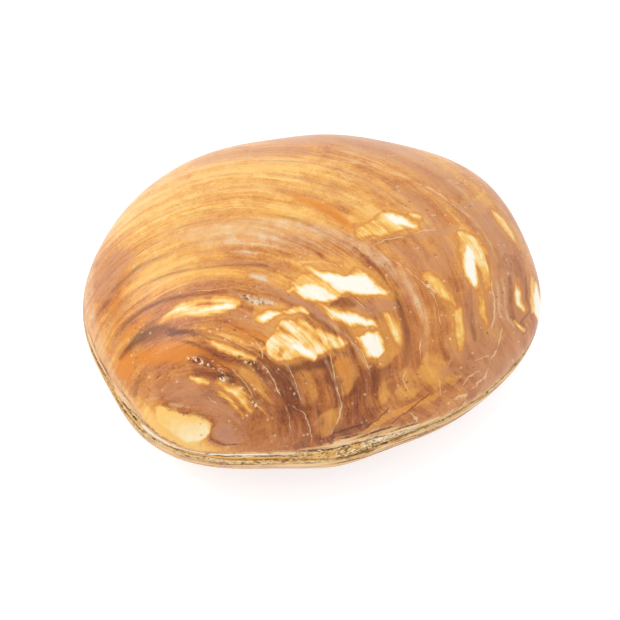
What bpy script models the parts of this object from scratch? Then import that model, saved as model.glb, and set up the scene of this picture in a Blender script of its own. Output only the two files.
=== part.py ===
# Fossil clam: two petrified valves, closed, with the hardened sediment between them showing
# as a gritty seam all round. Each valve is solid stone, ground and polished outside.
#
# Frame: +X along the shell towards its posterior end, +Y from the hinge side towards the
# ventral margin, +Z up out of the upper valve. The clam lies on its lower valve, at z = 0.

import bmesh
import bpy
import numpy as np

MM = 0.001

# The margin, where the valves meet, as radii from the middle of the shell at equal steps of
# angle from +X towards +Y. The hinge side lies between the 11th and the 18th radius.
MARGIN_RADII = MM * np.array([40.1, 40.0, 37.7, 34.7, 33.2, 32.4, 33.6, 35.2, 36.9, 39.0,
                              40.2, 40.0, 40.3, 36.4, 33.4, 32.3, 32.6, 34.8, 37.8, 40.4])

# Depths are measured from the middle plane of the seam, crests are places in plan.
UPPER_DEPTH = 17.0 * MM
LOWER_DEPTH = 16.0 * MM
REST_DEPTH = 0.3 * MM                       # worn off the bottom: the flat that the clam lies on
UPPER_CREST = MM * np.array([-5.0, -3.5])
LOWER_CREST = MM * np.array([-2.0, -1.4])

# From crest (r = 0) to margin (r = 1) a valve is depth * (1 - r ** PLAN_POWER) ** (1 / fullness)
# deep. The fullness is given as its mean and its swing from the hinge side to the ventral side.
PLAN_POWER = 2.1
UPPER_FULLNESS = (2.0, -0.2)
LOWER_FULLNESS = (2.15, -0.1)

# The sediment in the seam: a thin bed, swollen where the valves gape. Each swell is the angle
# of its middle in degrees, its height, and its half width in degrees.
BED_THICKNESS = 0.8 * MM
BED_SWELLS = ((205.0, 2.4 * MM, 10.0), (238.0, 1.4 * MM, 12.0), (267.0, 3.4 * MM, 14.0))
SWELL_FADE = 4                              # power by which a swell dies out inwards
BED_INSET = 0.25 * MM                       # how far the bed's edge stands back
PIECE_GAP = 0.3 * MM                        # between the bed and each valve

# Growth: every older margin is the last one shrunk about the beak. The reach is the distance
# from the beak to the last margin, by the angle round the beak from +X in steps of 15 degrees.
# It runs past the ground-off anterior edge, which the growth lines meet at a slant.
BEAK = MM * np.array([-28.5, -27.5])
GROWTH_REACH = MM * np.array([42.0, 69.0, 76.5, 78.0, 76.5, 72.5, 67.0, 61.0, 55.0, 50.0,
                              46.0, 43.0, 41.0])

# Growth halts: low ridges with a groove outside them, along older margins of these sizes. They
# die out towards the hinge, at the margin and at the crest.
HALT_SIZES = (0.30, 0.55, 0.75, 0.90)
HALT_HEIGHT = 0.2 * MM
HALT_WIDTH = 0.025                          # half width, as a part of the last margin
HALT_FADE = 6                               # power by which a halt dies out at the margin
HALT_FREE_RINGS = 3                         # rings round the crest over which it does

SECTORS = 72
UPPER_RINGS = 26
LOWER_RINGS = 18
SEAM_RINGS = 5


def smooth_ring(values, angles):
    """A smooth closed curve through values that stand at equal steps of angle."""
    waves = np.fft.rfft(values) / len(values)
    orders = np.arange(len(waves))
    weights = np.where((orders == 0) | (2 * orders == len(values)), 1.0, 2.0)
    turns = np.exp(1j * np.outer(angles, orders))
    return (weights * np.real(waves * turns)).sum(axis=1)


def curve_through(values, places):
    """A curve through evenly spaced values, read at places from 0 to len(values) - 1."""
    padded = np.concatenate([values[1:2], values, values[-2:-1]])
    step = np.clip(places.astype(int), 0, len(values) - 2)
    part = places - step
    before, here, there, after = (padded[step + k] for k in range(4))
    cubic = 3 * (here - there) + after - before
    square = 2 * before - 5 * here + 4 * there - after
    return here + part / 2 * (there - before + part * (square + part * cubic))


def margin_outline(angles):
    """The margin in plan, centred on its own box."""
    radii = smooth_ring(MARGIN_RADII, angles)
    outline = np.column_stack([radii * np.cos(angles), radii * np.sin(angles)])
    return outline - (outline.min(axis=0) + outline.max(axis=0)) / 2


def bed_half_height(angles, r):
    """Half the height of the seam's space, r of the way from the crest to the margin."""
    height = np.full(len(angles), BED_THICKNESS)
    for middle, swell, width in BED_SWELLS:
        offset = (np.degrees(angles) - middle) / width
        height += swell * np.exp(-offset ** 2) * r ** SWELL_FADE
    return height / 2


def ring_points(plan, heights):
    return np.column_stack([plan, np.broadcast_to(heights, len(plan))])


def dome_rings(angles, margin, crest, depth, fullness, side, cut, count):
    """Rings of a valve's outer face, from its cut-off crest down to its rim."""
    rim = bed_half_height(angles, 1.0) + PIECE_GAP / 2
    power = fullness[0] + fullness[1] * np.sin(angles)
    kept = (depth - cut - rim) / (depth - rim)
    first = np.arcsin((1 - kept ** power) ** (1 / PLAN_POWER))
    rings = []
    for step in np.linspace(0 if cut else 1 / count, 1, count):
        r = np.sin(first + (np.pi / 2 - first) * step)
        plan = crest + (margin - crest) * r[:, None]
        fall = np.clip(1 - r ** PLAN_POWER, 0, 1) ** (1 / power)
        rings.append(ring_points(plan, side * (rim + (depth - rim) * fall)))
    return rings


def seam_rings(angles, outline, offset, side):
    """Rings of a face along the seam, from its edge in towards its middle."""
    rings = []
    for r in np.linspace(1, 0, SEAM_RINGS, endpoint=False):
        rings.append(ring_points(outline * r, side * (bed_half_height(angles, r) + offset)))
    return rings


def add_solid(name, first_pole, rings, last_pole, material):
    """A closed solid skinned over rings, with a fan of faces at each end."""
    shape = bmesh.new()
    loops = [[shape.verts.new(point) for point in ring] for ring in rings]
    start = shape.verts.new(first_pole)
    end = shape.verts.new(last_pole)
    for here in range(SECTORS):
        there = (here + 1) % SECTORS
        shape.faces.new([start, loops[0][here], loops[0][there]])
        shape.faces.new([end, loops[-1][there], loops[-1][here]])
        for inner, outer in zip(loops, loops[1:]):
            shape.faces.new([inner[here], outer[here], outer[there], inner[there]])
    bmesh.ops.recalc_face_normals(shape, faces=shape.faces)
    mesh = bpy.data.meshes.new(name)
    shape.to_mesh(mesh)
    shape.free()
    mesh.shade_smooth()
    mesh.set_sharp_from_angle(angle=np.radians(40))
    mesh.materials.append(material)
    solid = bpy.data.objects.new(name, mesh)
    bpy.context.collection.objects.link(solid)
    return solid


def growth_place(points):
    """The size of the older margin through each point, and the point's angle round the beak."""
    along = points[:, 0] - BEAK[0]
    across = np.hypot(points[:, 1] - BEAK[1], points[:, 2])
    turn = np.arctan2(across, along)
    reach = curve_through(GROWTH_REACH, turn / np.pi * (len(GROWTH_REACH) - 1))
    return np.hypot(along, across) / reach, turn


def raise_halts(valve, ring_count):
    """Raises the growth halts on the outer face, which holds the mesh's first rings."""
    count = ring_count * SECTORS
    vertices = valve.data.vertices
    points = np.array([vertex.co for vertex in vertices])[:count]
    normals = np.array([vertex.normal for vertex in vertices])[:count]
    size, turn = growth_place(points)
    lift = np.zeros(count)
    for halt in HALT_SIZES:
        offset = (size - halt) / HALT_WIDTH
        lift -= HALT_HEIGHT * offset * np.exp(0.5 - offset ** 2)
    ring = np.repeat(np.arange(ring_count), SECTORS)
    lift *= np.sin(turn) * (1 - (ring / (ring_count - 1)) ** HALT_FADE)
    lift *= np.clip(ring / HALT_FREE_RINGS, 0, 1)
    for vertex, point in zip(vertices, points + normals * lift[:, None]):
        vertex.co = point


def stone_material(name, colour, roughness):
    material = bpy.data.materials.new(name)
    material.use_nodes = True
    shader = material.node_tree.nodes["Principled BSDF"]
    shader.inputs["Base Color"].default_value = (*colour, 1.0)
    shader.inputs["Roughness"].default_value = roughness
    shader.inputs["Metallic"].default_value = 0.0
    return material


def add_upper_valve(angles, margin):
    rings = dome_rings(angles, margin, UPPER_CREST, UPPER_DEPTH, UPPER_FULLNESS, 1, 0, UPPER_RINGS)
    rings += seam_rings(angles, margin, PIECE_GAP / 2, 1)[1:]
    valve = add_solid("upper_valve", (*UPPER_CREST, UPPER_DEPTH), rings,
                      (0, 0, (BED_THICKNESS + PIECE_GAP) / 2),
                      stone_material("upper_valve", (0.62, 0.32, 0.12), 0.2))
    raise_halts(valve, UPPER_RINGS)
    return valve


def add_lower_valve(angles, margin):
    rings = dome_rings(angles, margin, LOWER_CREST, LOWER_DEPTH, LOWER_FULLNESS, -1, REST_DEPTH,
                       LOWER_RINGS)
    rings += seam_rings(angles, margin, PIECE_GAP / 2, -1)[1:]
    valve = add_solid("lower_valve", (*LOWER_CREST, REST_DEPTH - LOWER_DEPTH), rings,
                      (0, 0, -(BED_THICKNESS + PIECE_GAP) / 2),
                      stone_material("lower_valve", (0.66, 0.40, 0.20), 0.25))
    raise_halts(valve, LOWER_RINGS)
    return valve


def add_seam_bed(angles, margin):
    edge = margin * (1 - BED_INSET / np.linalg.norm(margin, axis=1))[:, None]
    top = seam_rings(angles, edge, -PIECE_GAP / 2, 1)
    bottom = seam_rings(angles, edge, -PIECE_GAP / 2, -1)
    half = (BED_THICKNESS - PIECE_GAP) / 2
    return add_solid("seam_matrix", (0, 0, half), top[::-1] + bottom, (0, 0, -half),
                     stone_material("seam_matrix", (0.55, 0.36, 0.17), 0.8))


def build():
    for old in list(bpy.data.objects):
        bpy.data.objects.remove(old, do_unlink=True)
    angles = np.linspace(0, 2 * np.pi, SECTORS, endpoint=False)
    margin = margin_outline(angles)
    clam = bpy.data.objects.new("fossil_clam", None)
    bpy.context.collection.objects.link(clam)
    clam.location.z = LOWER_DEPTH - REST_DEPTH
    for add_piece in (add_upper_valve, add_seam_bed, add_lower_valve):
        add_piece(angles, margin).parent = clam


build()
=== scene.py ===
import math
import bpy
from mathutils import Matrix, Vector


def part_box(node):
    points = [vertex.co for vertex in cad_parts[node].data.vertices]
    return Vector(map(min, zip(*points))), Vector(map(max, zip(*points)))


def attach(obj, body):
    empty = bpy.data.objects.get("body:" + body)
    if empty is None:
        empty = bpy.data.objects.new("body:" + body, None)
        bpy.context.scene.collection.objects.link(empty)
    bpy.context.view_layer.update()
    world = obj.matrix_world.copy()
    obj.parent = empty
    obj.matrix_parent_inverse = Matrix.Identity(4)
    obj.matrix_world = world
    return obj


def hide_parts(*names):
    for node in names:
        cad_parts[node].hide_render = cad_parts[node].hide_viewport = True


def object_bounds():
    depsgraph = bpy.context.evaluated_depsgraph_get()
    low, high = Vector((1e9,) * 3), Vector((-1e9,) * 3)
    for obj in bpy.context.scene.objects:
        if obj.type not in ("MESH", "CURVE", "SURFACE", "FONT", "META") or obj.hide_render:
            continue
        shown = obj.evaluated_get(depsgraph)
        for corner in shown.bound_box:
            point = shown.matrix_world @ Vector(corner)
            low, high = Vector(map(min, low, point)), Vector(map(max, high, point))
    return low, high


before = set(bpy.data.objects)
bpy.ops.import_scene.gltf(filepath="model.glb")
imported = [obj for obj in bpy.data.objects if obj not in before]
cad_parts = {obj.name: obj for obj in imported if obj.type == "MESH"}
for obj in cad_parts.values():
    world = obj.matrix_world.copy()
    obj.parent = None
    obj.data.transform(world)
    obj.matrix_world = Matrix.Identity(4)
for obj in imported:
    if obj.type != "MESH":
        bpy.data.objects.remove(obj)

from types import SimpleNamespace

import bpy
import numpy as np
from mathutils import Matrix, Vector, noise

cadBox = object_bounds()
mm = 0.001

# the clam's form, shared by its three pieces; lengths in mm, angles in degrees
clamForm = {
    # the margin's distance from the middle, for every 18 degrees
    "marginRadii": (40.1, 40.0, 37.7, 34.7, 33.2, 32.4, 33.6, 35.2, 36.9, 39.0,
                    40.2, 40.0, 40.3, 36.4, 33.4, 32.3, 32.6, 34.8, 37.8, 40.4),
    "planPower": 2.1,  # how suddenly the domes fall towards the margin
    "bedThickness": 0.8,
    "bedSwells": ((205.0, 2.4, 10.0), (238.0, 1.4, 12.0), (267.0, 3.4, 14.0)),  # at, by, width
    "beak": (-28.5, -27.5),
    # from the beak to the margin, for every 15 degrees of sweep round the beak
    "growthReach": (42.0, 69.0, 76.5, 78.0, 76.5, 72.5, 67.0, 61.0, 55.0, 50.0, 46.0, 43.0, 41.0),
}


def srgb(red, green, blue):
    parts = []
    for level in (red / 255, green / 255, blue / 255):
        parts.append(level / 12.92 if level <= 0.04045 else ((level + 0.055) / 1.055) ** 2.4)
    return (*parts, 1.0)


def smoothRing(values, angles):  # a smooth closed curve through evenly spaced values
    waves = np.fft.rfft(values) / len(values)
    orders = np.arange(len(waves))
    weights = np.where((orders == 0) | (2 * orders == len(values)), 1.0, 2.0)
    return (weights * np.real(waves * np.exp(1j * np.outer(angles, orders)))).sum(axis=1)


def marginOutline(angles):  # in metres, fitted to the frame's box in plan
    radii = smoothRing(np.array(clamForm["marginRadii"]), angles)
    outline = np.column_stack([radii * np.cos(angles), radii * np.sin(angles)])
    low, high = outline.min(axis=0), outline.max(axis=0)
    boxLow, boxHigh = np.array(cadBox[0])[:2], np.array(cadBox[1])[:2]
    return boxLow + (outline - low) / (high - low) * (boxHigh - boxLow)


def bedHalfHeight(angles):  # half the gape of the valves at the margin, in metres
    height = np.full(len(angles), clamForm["bedThickness"])
    for middle, swell, width in clamForm["bedSwells"]:
        height += swell * np.exp(-((np.degrees(angles) - middle) / width) ** 2)
    return height / 2 * mm


seamHeight = (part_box("upper_valve")[0].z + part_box("lower_valve")[1].z) / 2


# small helpers for node trees
def addNode(tree, kind, inputs=None, **settings):
    made = tree.nodes.new(kind)
    for name, value in settings.items():
        setattr(made, name, value)
    for key, value in (inputs or {}).items():
        socket = made.inputs[key]
        if isinstance(value, bpy.types.NodeSocket):
            tree.links.new(value, socket)
        else:
            socket.default_value = value
    return made


def maths(tree, operation, first, second=None, third=None, clamp=False):
    given = {0: first, 1: second, 2: third}
    given = {key: value for key, value in given.items() if value is not None}
    return addNode(tree, "ShaderNodeMath", given, operation=operation, use_clamp=clamp).outputs[0]


def times(tree, first, *others):
    for other in others:
        first = maths(tree, "MULTIPLY", first, other)
    return first


def plus(tree, start, *terms):  # the start, and each value times its share
    for value, share in terms:
        start = maths(tree, "MULTIPLY_ADD", value, share, start)
    return start


def minus(tree, first, second):
    return maths(tree, "SUBTRACT", first, second)


def split(tree, vector):
    return addNode(tree, "ShaderNodeSeparateXYZ", {0: vector}).outputs


def joined(tree, *parts):
    return addNode(tree, "ShaderNodeCombineXYZ", dict(enumerate(parts))).outputs[0]


def named(tree, name, kind="FLOAT"):  # a value that the blank's vertices or faces carry
    made = addNode(tree, "GeometryNodeInputNamedAttribute", {"Name": name}, data_type=kind)
    return made.outputs["Attribute"]


def alongNormal(tree, geometry, lift):
    push = addNode(tree, "ShaderNodeVectorMath", {
        0: addNode(tree, "GeometryNodeInputNormal").outputs[0], "Scale": lift}, operation="SCALE")
    return addNode(tree, "GeometryNodeSetPosition",
                   {"Geometry": geometry, "Offset": push.outputs[0]}).outputs[0]


def stored(tree, geometry, name, value):
    return addNode(tree, "GeometryNodeStoreNamedAttribute",
                   {"Geometry": geometry, "Name": name, "Value": value},
                   data_type="FLOAT", domain="POINT").outputs[0]


def newGroup(name, kind, inputs, outputs):
    tree = bpy.data.node_groups.new(name, kind)
    for way, sockets in (("INPUT", inputs), ("OUTPUT", outputs)):
        for title, socketKind, *value in sockets:
            socket = tree.interface.new_socket(title, in_out=way, socket_type=socketKind)
            if value:
                socket.default_value = value[0]
    ends = tree.nodes.new("NodeGroupInput"), tree.nodes.new("NodeGroupOutput")
    return tree, ends[0].outputs, ends[1].inputs


# Geometry Nodes that raise a valve from its flat blank
reliefLook = {
    "ridgeHeight": 0.05 * mm,
    "ridgeCount": 70.0,  # growth ridges from beak to margin
    "ridgeLength": 0.09,  # how fast the ridges change along the margin, per degree
    "haltHeight": 0.2 * mm,
    "haltWidth": 0.025,
    "haltSizes": (0.30, 0.55, 0.75, 0.90),
}


def domePlace(tree, given):  # plan: from the crest to the margin; height: the rise over the rim
    part, rim = named(tree, "part"), split(tree, named(tree, "rim", "FLOAT_VECTOR"))
    outer = maths(tree, "MINIMUM", part, 1.0)
    inner = minus(tree, maths(tree, "MAXIMUM", part, 1.0), 1.0)
    shrink = times(tree, outer, minus(tree, 1.0, inner))
    crest = split(tree, given["Crest"])
    plan = [plus(tree, crest[axis], (minus(tree, rim[axis], crest[axis]), shrink))
            for axis in (0, 1)]
    drop = maths(tree, "POWER", outer, given["Plan Power"])
    rise = maths(tree, "POWER", maths(tree, "SUBTRACT", 1.0, drop, clamp=True),
                 maths(tree, "DIVIDE", 1.0, named(tree, "fullness")))
    tall = plus(tree, rim[2], (minus(tree, given["Depth"], rim[2]), rise))
    tall = maths(tree, "MINIMUM", tall, given["Deepest"])
    return joined(tree, *plan, plus(tree, given["Seam Height"], (tall, given["Side"])))


def growthPlace(tree, given):  # a point's growth from beak to margin, and its sweep round the beak
    here = split(tree, addNode(tree, "GeometryNodeInputPosition").outputs[0])
    beak = split(tree, given["Beak"])
    along = minus(tree, here[0], beak[0])

    def length(first, second):
        return addNode(tree, "ShaderNodeVectorMath", {0: joined(tree, first, second)},
                       operation="LENGTH").outputs["Value"]

    across = length(minus(tree, here[1], beak[1]), minus(tree, here[2], given["Seam Height"]))
    turn = maths(tree, "ARCTAN2", across, along)
    reachCurve = addNode(tree, "ShaderNodeFloatCurve",
                         {"Value": maths(tree, "DIVIDE", turn, math.pi)})
    reaches = clamForm["growthReach"]
    points = reachCurve.mapping.curves[0].points
    for index in range(1, len(reaches) - 1):
        points.new(index / (len(reaches) - 1), 1.0)
    for index, reach in enumerate(reaches):
        points[index].location = (index / (len(reaches) - 1), reach / max(reaches))
    reachCurve.mapping.update()
    reach = times(tree, reachCurve.outputs[0], max(reaches) * mm)
    return (maths(tree, "DIVIDE", length(along, across), reach), maths(tree, "DEGREES", turn))


def reliefLift(tree, given):  # fine ridges, and the halts as low ridges with a groove outside them
    growth, sweep, part = named(tree, "growth"), named(tree, "sweep"), named(tree, "part")
    spot = joined(tree, times(tree, sweep, given["Ridge Length"]),
                  times(tree, growth, given["Ridge Count"]), given["Seed"])
    grain = addNode(tree, "ShaderNodeTexNoise", {
        "Vector": spot, "Scale": 1.0, "Detail": 3.0, "Roughness": 0.6}).outputs[0]
    lift = times(tree, minus(tree, grain, 0.5), given["Ridge Height"], 2.0)
    fade = maths(tree, "SINE", maths(tree, "RADIANS", sweep))
    for size in reliefLook["haltSizes"]:
        offset = maths(tree, "DIVIDE", minus(tree, growth, size), given["Halt Width"])
        bell = maths(tree, "EXPONENT", minus(tree, 0.5, times(tree, offset, offset)))
        lift = minus(tree, lift, times(tree, offset, bell, given["Halt Height"], fade))
    free = maths(tree, "POWER", maths(tree, "MINIMUM", part, 1.0), 6.0)
    free = maths(tree, "SUBTRACT", 1.0, free, clamp=True)
    return times(tree, lift, times(tree, free, maths(tree, "LESS_THAN", part, 1.0)))


def buildValveTree():
    tree, given, result = newGroup("valveForm", "GeometryNodeTree", [
        ("Blank", "NodeSocketGeometry"), ("Side", "NodeSocketFloat", 1.0),
        ("Depth", "NodeSocketFloat", 0.017), ("Deepest", "NodeSocketFloat", 0.017),
        ("Crest", "NodeSocketVector"), ("Plan Power", "NodeSocketFloat", 2.1),
        ("Seam Height", "NodeSocketFloat", 0.0157), ("Beak", "NodeSocketVector"),
        ("Ridge Height", "NodeSocketFloat", 0.00005), ("Ridge Count", "NodeSocketFloat", 70.0),
        ("Ridge Length", "NodeSocketFloat", 0.09), ("Halt Height", "NodeSocketFloat", 0.0002),
        ("Halt Width", "NodeSocketFloat", 0.025), ("Seed", "NodeSocketFloat", 0.0),
        ("Stone", "NodeSocketMaterial")], [("Valve", "NodeSocketGeometry")])
    dome = addNode(tree, "GeometryNodeSetPosition",
                   {"Geometry": given["Blank"], "Position": domePlace(tree, given)}).outputs[0]
    growth, sweep = growthPlace(tree, given)
    dome = stored(tree, stored(tree, dome, "growth", growth), "sweep", sweep)
    dome = alongNormal(tree, dome, reliefLift(tree, given))
    smooth = addNode(tree, "GeometryNodeSetShadeSmooth", {"Geometry": dome})
    real = addNode(tree, "GeometryNodeRealizeInstances", {0: smooth.outputs[0]})
    stone = addNode(tree, "GeometryNodeSetMaterial",
                    {"Geometry": real.outputs[0], "Material": given["Stone"]})
    tree.links.new(stone.outputs[0], result["Valve"])
    return tree


def grownMesh(name, blank, tree, values):  # the modifier's result as a plain mesh
    holder = bpy.data.objects.new(name, blank)
    bpy.context.collection.objects.link(holder)
    modifier = holder.modifiers.new("form", "NODES")
    modifier.node_group = tree
    for item in tree.interface.items_tree:  # inputs are set by the socket's identifier
        if item.in_out == "INPUT" and item.name in values:
            modifier[item.identifier] = values[item.name]
    shown = bpy.context.evaluated_depsgraph_get()
    mesh = bpy.data.meshes.new_from_object(holder.evaluated_get(shown))
    mesh.name = name
    holder.modifiers.clear()
    holder.data = mesh
    return holder


def readAttribute(mesh, name):
    values = np.zeros(len(mesh.vertices))
    mesh.attributes[name].data.foreach_get("value", values)
    return values


def writeAttribute(mesh, name, values):
    made = mesh.attributes.new(name, "FLOAT", "POINT")
    made.data.foreach_set("value", values.astype(np.float32))


def ringFaces(start, stop, sectors):  # quads between two rings of vertices
    here = np.arange(sectors)
    there = (here + 1) % sectors
    return np.column_stack([start + here, stop + here, stop + there, start + there])


def fanFaces(middle, start, sectors):  # triangles from a ring to its middle
    here = np.arange(sectors)
    return np.column_stack([np.full(sectors, middle), start + here, start + (here + 1) % sectors])


def valveBlank(name, look):  # rings of vertices that know their margin point
    sectors = look["sectors"]
    angles = np.linspace(0, 2 * np.pi, sectors, endpoint=False)
    rings = np.sin(np.linspace(0, np.pi / 2, look["rings"] + 1)[1:])
    parts = np.concatenate([rings, look["underside"]])
    count = len(parts) * sectors + 2
    part = np.concatenate([np.repeat(parts, sectors), [0.0, 2.0]])
    gape = bedHalfHeight(angles)
    rim = np.zeros((count, 3))
    rim[:-2] = np.tile(np.column_stack([marginOutline(angles), gape]), (len(parts), 1))
    rim[-2:, 2] = gape.mean()
    power = look["fullness"][0] + look["fullness"][1] * np.sin(angles)
    fullness = np.concatenate([np.tile(power, len(parts)), [2.0, 2.0]])
    quads = np.concatenate([ringFaces(ring * sectors, (ring + 1) * sectors, sectors)
                            for ring in range(len(parts) - 1)])
    crestFan = fanFaces(count - 2, 0, sectors)
    innerFan = fanFaces(count - 1, (len(parts) - 1) * sectors, sectors)[:, [0, 2, 1]]
    if look["side"] < 0:
        quads, crestFan, innerFan = quads[:, ::-1], crestFan[:, ::-1], innerFan[:, ::-1]
    mesh = bpy.data.meshes.new(name)
    flat = np.column_stack([rim[:, :2] * part[:, None], np.zeros(count)])
    mesh.from_pydata(flat.tolist(), [], quads.tolist() + crestFan.tolist() + innerFan.tolist())
    writeAttribute(mesh, "part", part)
    writeAttribute(mesh, "fullness", fullness)
    mesh.attributes.new("rim", "FLOAT_VECTOR", "POINT").data.foreach_set("vector", rim.ravel())
    return mesh


valveTree = buildValveTree()
print("valve tree ready")

# how softly each marking ends, in growth, and how far its outline wanders
markLook = {
    "softness": {"pale": 0.011, "amber": 0.022, "patch": 0.012, "haze": 0.009, "blush": 0.030,
                 "glow": 0.016, "dark": 0.010, "grit": 0.008},
    "wanderScales": ((170.0, 1.0), (450.0, 0.6), (1000.0, 0.35)),  # noise scales, their shares
    "wanderAngle": 1.1,
    "wanderGrowth": 0.006,
    "wanderShare": {"haze": 0.3, "dark": 0.4, "grit": 0.3, "patch": 0.6},
    "calmSweep": 30.0,  # below this sweep the outlines wander less along the margin
    "seed": 1,
    "plainTone": 0.45,
    "lineTaper": 0.6,  # in mm, past the ends of a scratch or crack
}


def markField(marks, softness, sweep, growth):
    field = np.full(len(sweep), -1.0)
    for strength, points, fadeAngle, *edge in sorted(marks, key=lambda mark: -mark[0]):
        angles, centres, halves = np.array(points).T
        centre = np.interp(sweep, angles, centres)
        half = np.interp(sweep, angles, halves)
        past = np.maximum(np.maximum(angles[0] - sweep, sweep - angles[-1]), 0.0) / fadeAngle
        inside = (half * (1.0 - past * past) - np.abs(growth - centre)) / (*edge, softness)[0]
        if strength > 0:
            field = np.maximum(field, np.clip(inside, -1.0, strength))
        else:
            field += strength * np.clip(inside + 0.5, 0.0, 1.0)
    return field


def toneField(tones, sweep, growth):
    total = np.full(len(sweep), 1e-6)
    blend = total * markLook["plainTone"]
    for angle, size, angleSpread, sizeSpread, tone in tones:
        weight = np.exp(-((sweep - angle) / angleSpread) ** 2 / 2
                        - ((growth - size) / sizeSpread) ** 2 / 2)
        total += weight
        blend += weight * tone
    return blend / total


def lineField(lines, plan):  # signed distance to the nearest line in mm, and its half width
    nearest = np.full(len(plan), 1.0)
    side = np.full(len(plan), 1.0)
    width = np.full(len(plan), -0.1)
    for half, points in lines:
        points = np.array(points)
        for index, run in enumerate(np.diff(points, axis=0)):
            length = np.linalg.norm(run)
            away = plan - points[index]
            along = away @ run / length
            across = (run[0] * away[:, 1] - run[1] * away[:, 0]) / length
            past = np.maximum(-along, along - length).clip(0.0)
            distance = np.hypot(across, past)
            before, after = index == 0, index == len(points) - 2
            ends = (before & (along < 0)) | (after & (along > length))
            taper = 1.0 - np.where(ends, past, 0.0) / markLook["lineTaper"]
            closer = distance < nearest
            nearest[closer] = distance[closer]
            side[closer] = np.where(ends, across, np.sign(across) * distance)[closer]
            width[closer] = (half * taper)[closer]
    return side, width


def paintValve(piece, look):
    mesh = piece.data
    sweep, growth = readAttribute(mesh, "sweep"), readAttribute(mesh, "growth")
    writeAttribute(mesh, "tone", toneField(look["tones"], sweep, growth))
    noise.seed_set(markLook["seed"])  # else the noise follows the clock
    wander = np.array([sum((noise.noise_vector(vertex.co * scale) * share
                            for scale, share in markLook["wanderScales"]), Vector())
                       for vertex in mesh.vertices])
    turn = wander[:, 0] * markLook["wanderAngle"]
    turn = turn * np.clip(sweep / markLook["calmSweep"], 0.1, 1.0)
    for channel, softness in markLook["softness"].items():
        share = markLook["wanderShare"].get(channel, 1.0)
        field = markField(look["marks"][channel], softness, sweep + turn * share,
                          growth + wander[:, 1] * markLook["wanderGrowth"] * share)
        writeAttribute(mesh, channel, field)
    place = np.array([vertex.co for vertex in mesh.vertices])
    for name, table in look["lines"].items():
        side, width = lineField(table, place[:, :2] / mm)
        writeAttribute(mesh, name, side)
        writeAttribute(mesh, name + " width", width)
    part, sectors = readAttribute(mesh, "part"), look["sectors"]
    edge = int(np.argmax(part[::sectors] >= 1.0)) * sectors
    column = np.arange(len(part)) % sectors
    away = np.linalg.norm(place - place[edge + column], axis=1) / mm
    away[-2:] = 30.0  # the middles of the dome and of its inner side
    bearing = column * 360.0 / sectors
    for name in ("lip", "crust"):
        width = np.interp(bearing, *np.array(look[name]).T)
        writeAttribute(mesh, name, np.clip(width - away, -3.0, 3.0))


# colours of the bed, some of which the valves' lips share
bedColours = {
    "base": (226, 196, 146), "olive": (172, 134, 80), "chalk": (226, 210, 188),
    "rust": (216, 160, 80), "crack": (44, 32, 24),
    "grains": ((0.0, (44, 30, 20)), (0.20, (104, 74, 46)), (0.40, (178, 138, 82)),
               (0.64, (214, 176, 112)), (0.86, (230, 198, 142)), (1.0, (242, 222, 186))),
    "sand": ((0.0, (120, 82, 48)), (0.25, (184, 132, 72)), (0.45, (220, 174, 110)),
             (0.62, (232, 196, 140)), (0.80, (240, 214, 172)), (1.0, (244, 230, 206))),
}

# the polished shell: its colours, and the streaks that run along the growth
shellLook = {
    "ramp": ((0.0, (126, 58, 18)), (0.20, (170, 94, 38)), (0.38, (197, 120, 56)),
             (0.55, (218, 146, 70)), (0.75, (238, 172, 84)), (1.0, (252, 206, 120))),
    "paleRamp": ((0.0, (204, 128, 58)), (0.20, (232, 160, 70)), (0.42, (246, 192, 96)),
                 (0.60, (250, 220, 154)), (0.80, (253, 240, 210)), (1.0, (255, 248, 234))),
    "amber": (240, 172, 74), "tan": (218, 162, 112), "rose": (196, 124, 92),
    # the haze and blush colours are partly painted sheen: soft reflections painted into the shell's
    # colour
    "haze": (230, 184, 136), "scar": (228, 212, 186), "blush": (206, 144, 100),
    "glow": (222, 130, 26), "mauve": (188, 136, 118), "dark": (112, 50, 12),
    "soot": (84, 50, 38), "patch": (254, 234, 186), "patchEdge": (248, 198, 106),
    "gritLight": (240, 214, 176), "gritDark": (66, 38, 20), "lip": (242, 198, 138),
    # the speck colour is partly painted glints: tiny highlights painted as pale specks
    "lipDark": (208, 146, 86), "lipStain": (92, 56, 26), "speck_and_glint": (250, 214, 170),
    "light": 0.80,
    "streaks": {  # length, width, detail and seed
        "broad": (6.0, 0.030, 2.0, 1.3), "middle": (3.6, 0.012, 3.0, 5.1),
        "fine": (1.7, 0.0044, 2.0, 9.7), "blotch": (1.7, 0.03, 3.0, 14.2),
        "hair": (0.9, 0.0026, 1.0, 21.4), "rosy": (2.6, 0.02, 3.0, 73.0),
        "dull": (4.5, 0.016, 2.0, 61.0), "cracked": (8.0, 0.018, 0.0, 31.0)},
    "toneShares": {"broad": 0.18, "middle": 0.155, "fine": 0.10, "blotch": 0.10, "hair": 0.06,
                   "uneven": 0.7},
    "roughness": 0.34, "specular": 0.28, "coat": 0.08, "coatRoughness": 0.25,
    "bumpStrength": 0.35, "bumpDistance": 0.08 * mm,
}


def ramp(tree, factor, stops):
    made = addNode(tree, "ShaderNodeValToRGB", {0: factor})
    points = made.color_ramp.elements
    while len(points) < len(stops):
        points.new(0.5)
    for point, (position, colour) in zip(points, stops):
        point.position = position
        point.color = srgb(*colour)
    return made.outputs[0]


def mixColours(tree, factor, first, second, blend="MIX"):
    made = tree.nodes.new("ShaderNodeMix")
    made.data_type = "RGBA"
    made.blend_type = blend
    made.clamp_factor = True
    for socket, value in ((made.inputs[0], factor), (made.inputs[6], first),
                          (made.inputs[7], second)):
        if isinstance(value, bpy.types.NodeSocket):
            tree.links.new(value, socket)
        else:
            socket.default_value = value
    return made.outputs[2]


def tint(tree, colour, factor, name):  # one of the shell's colours over what is there
    return mixColours(tree, factor, colour, srgb(*shellLook[name]))


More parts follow.
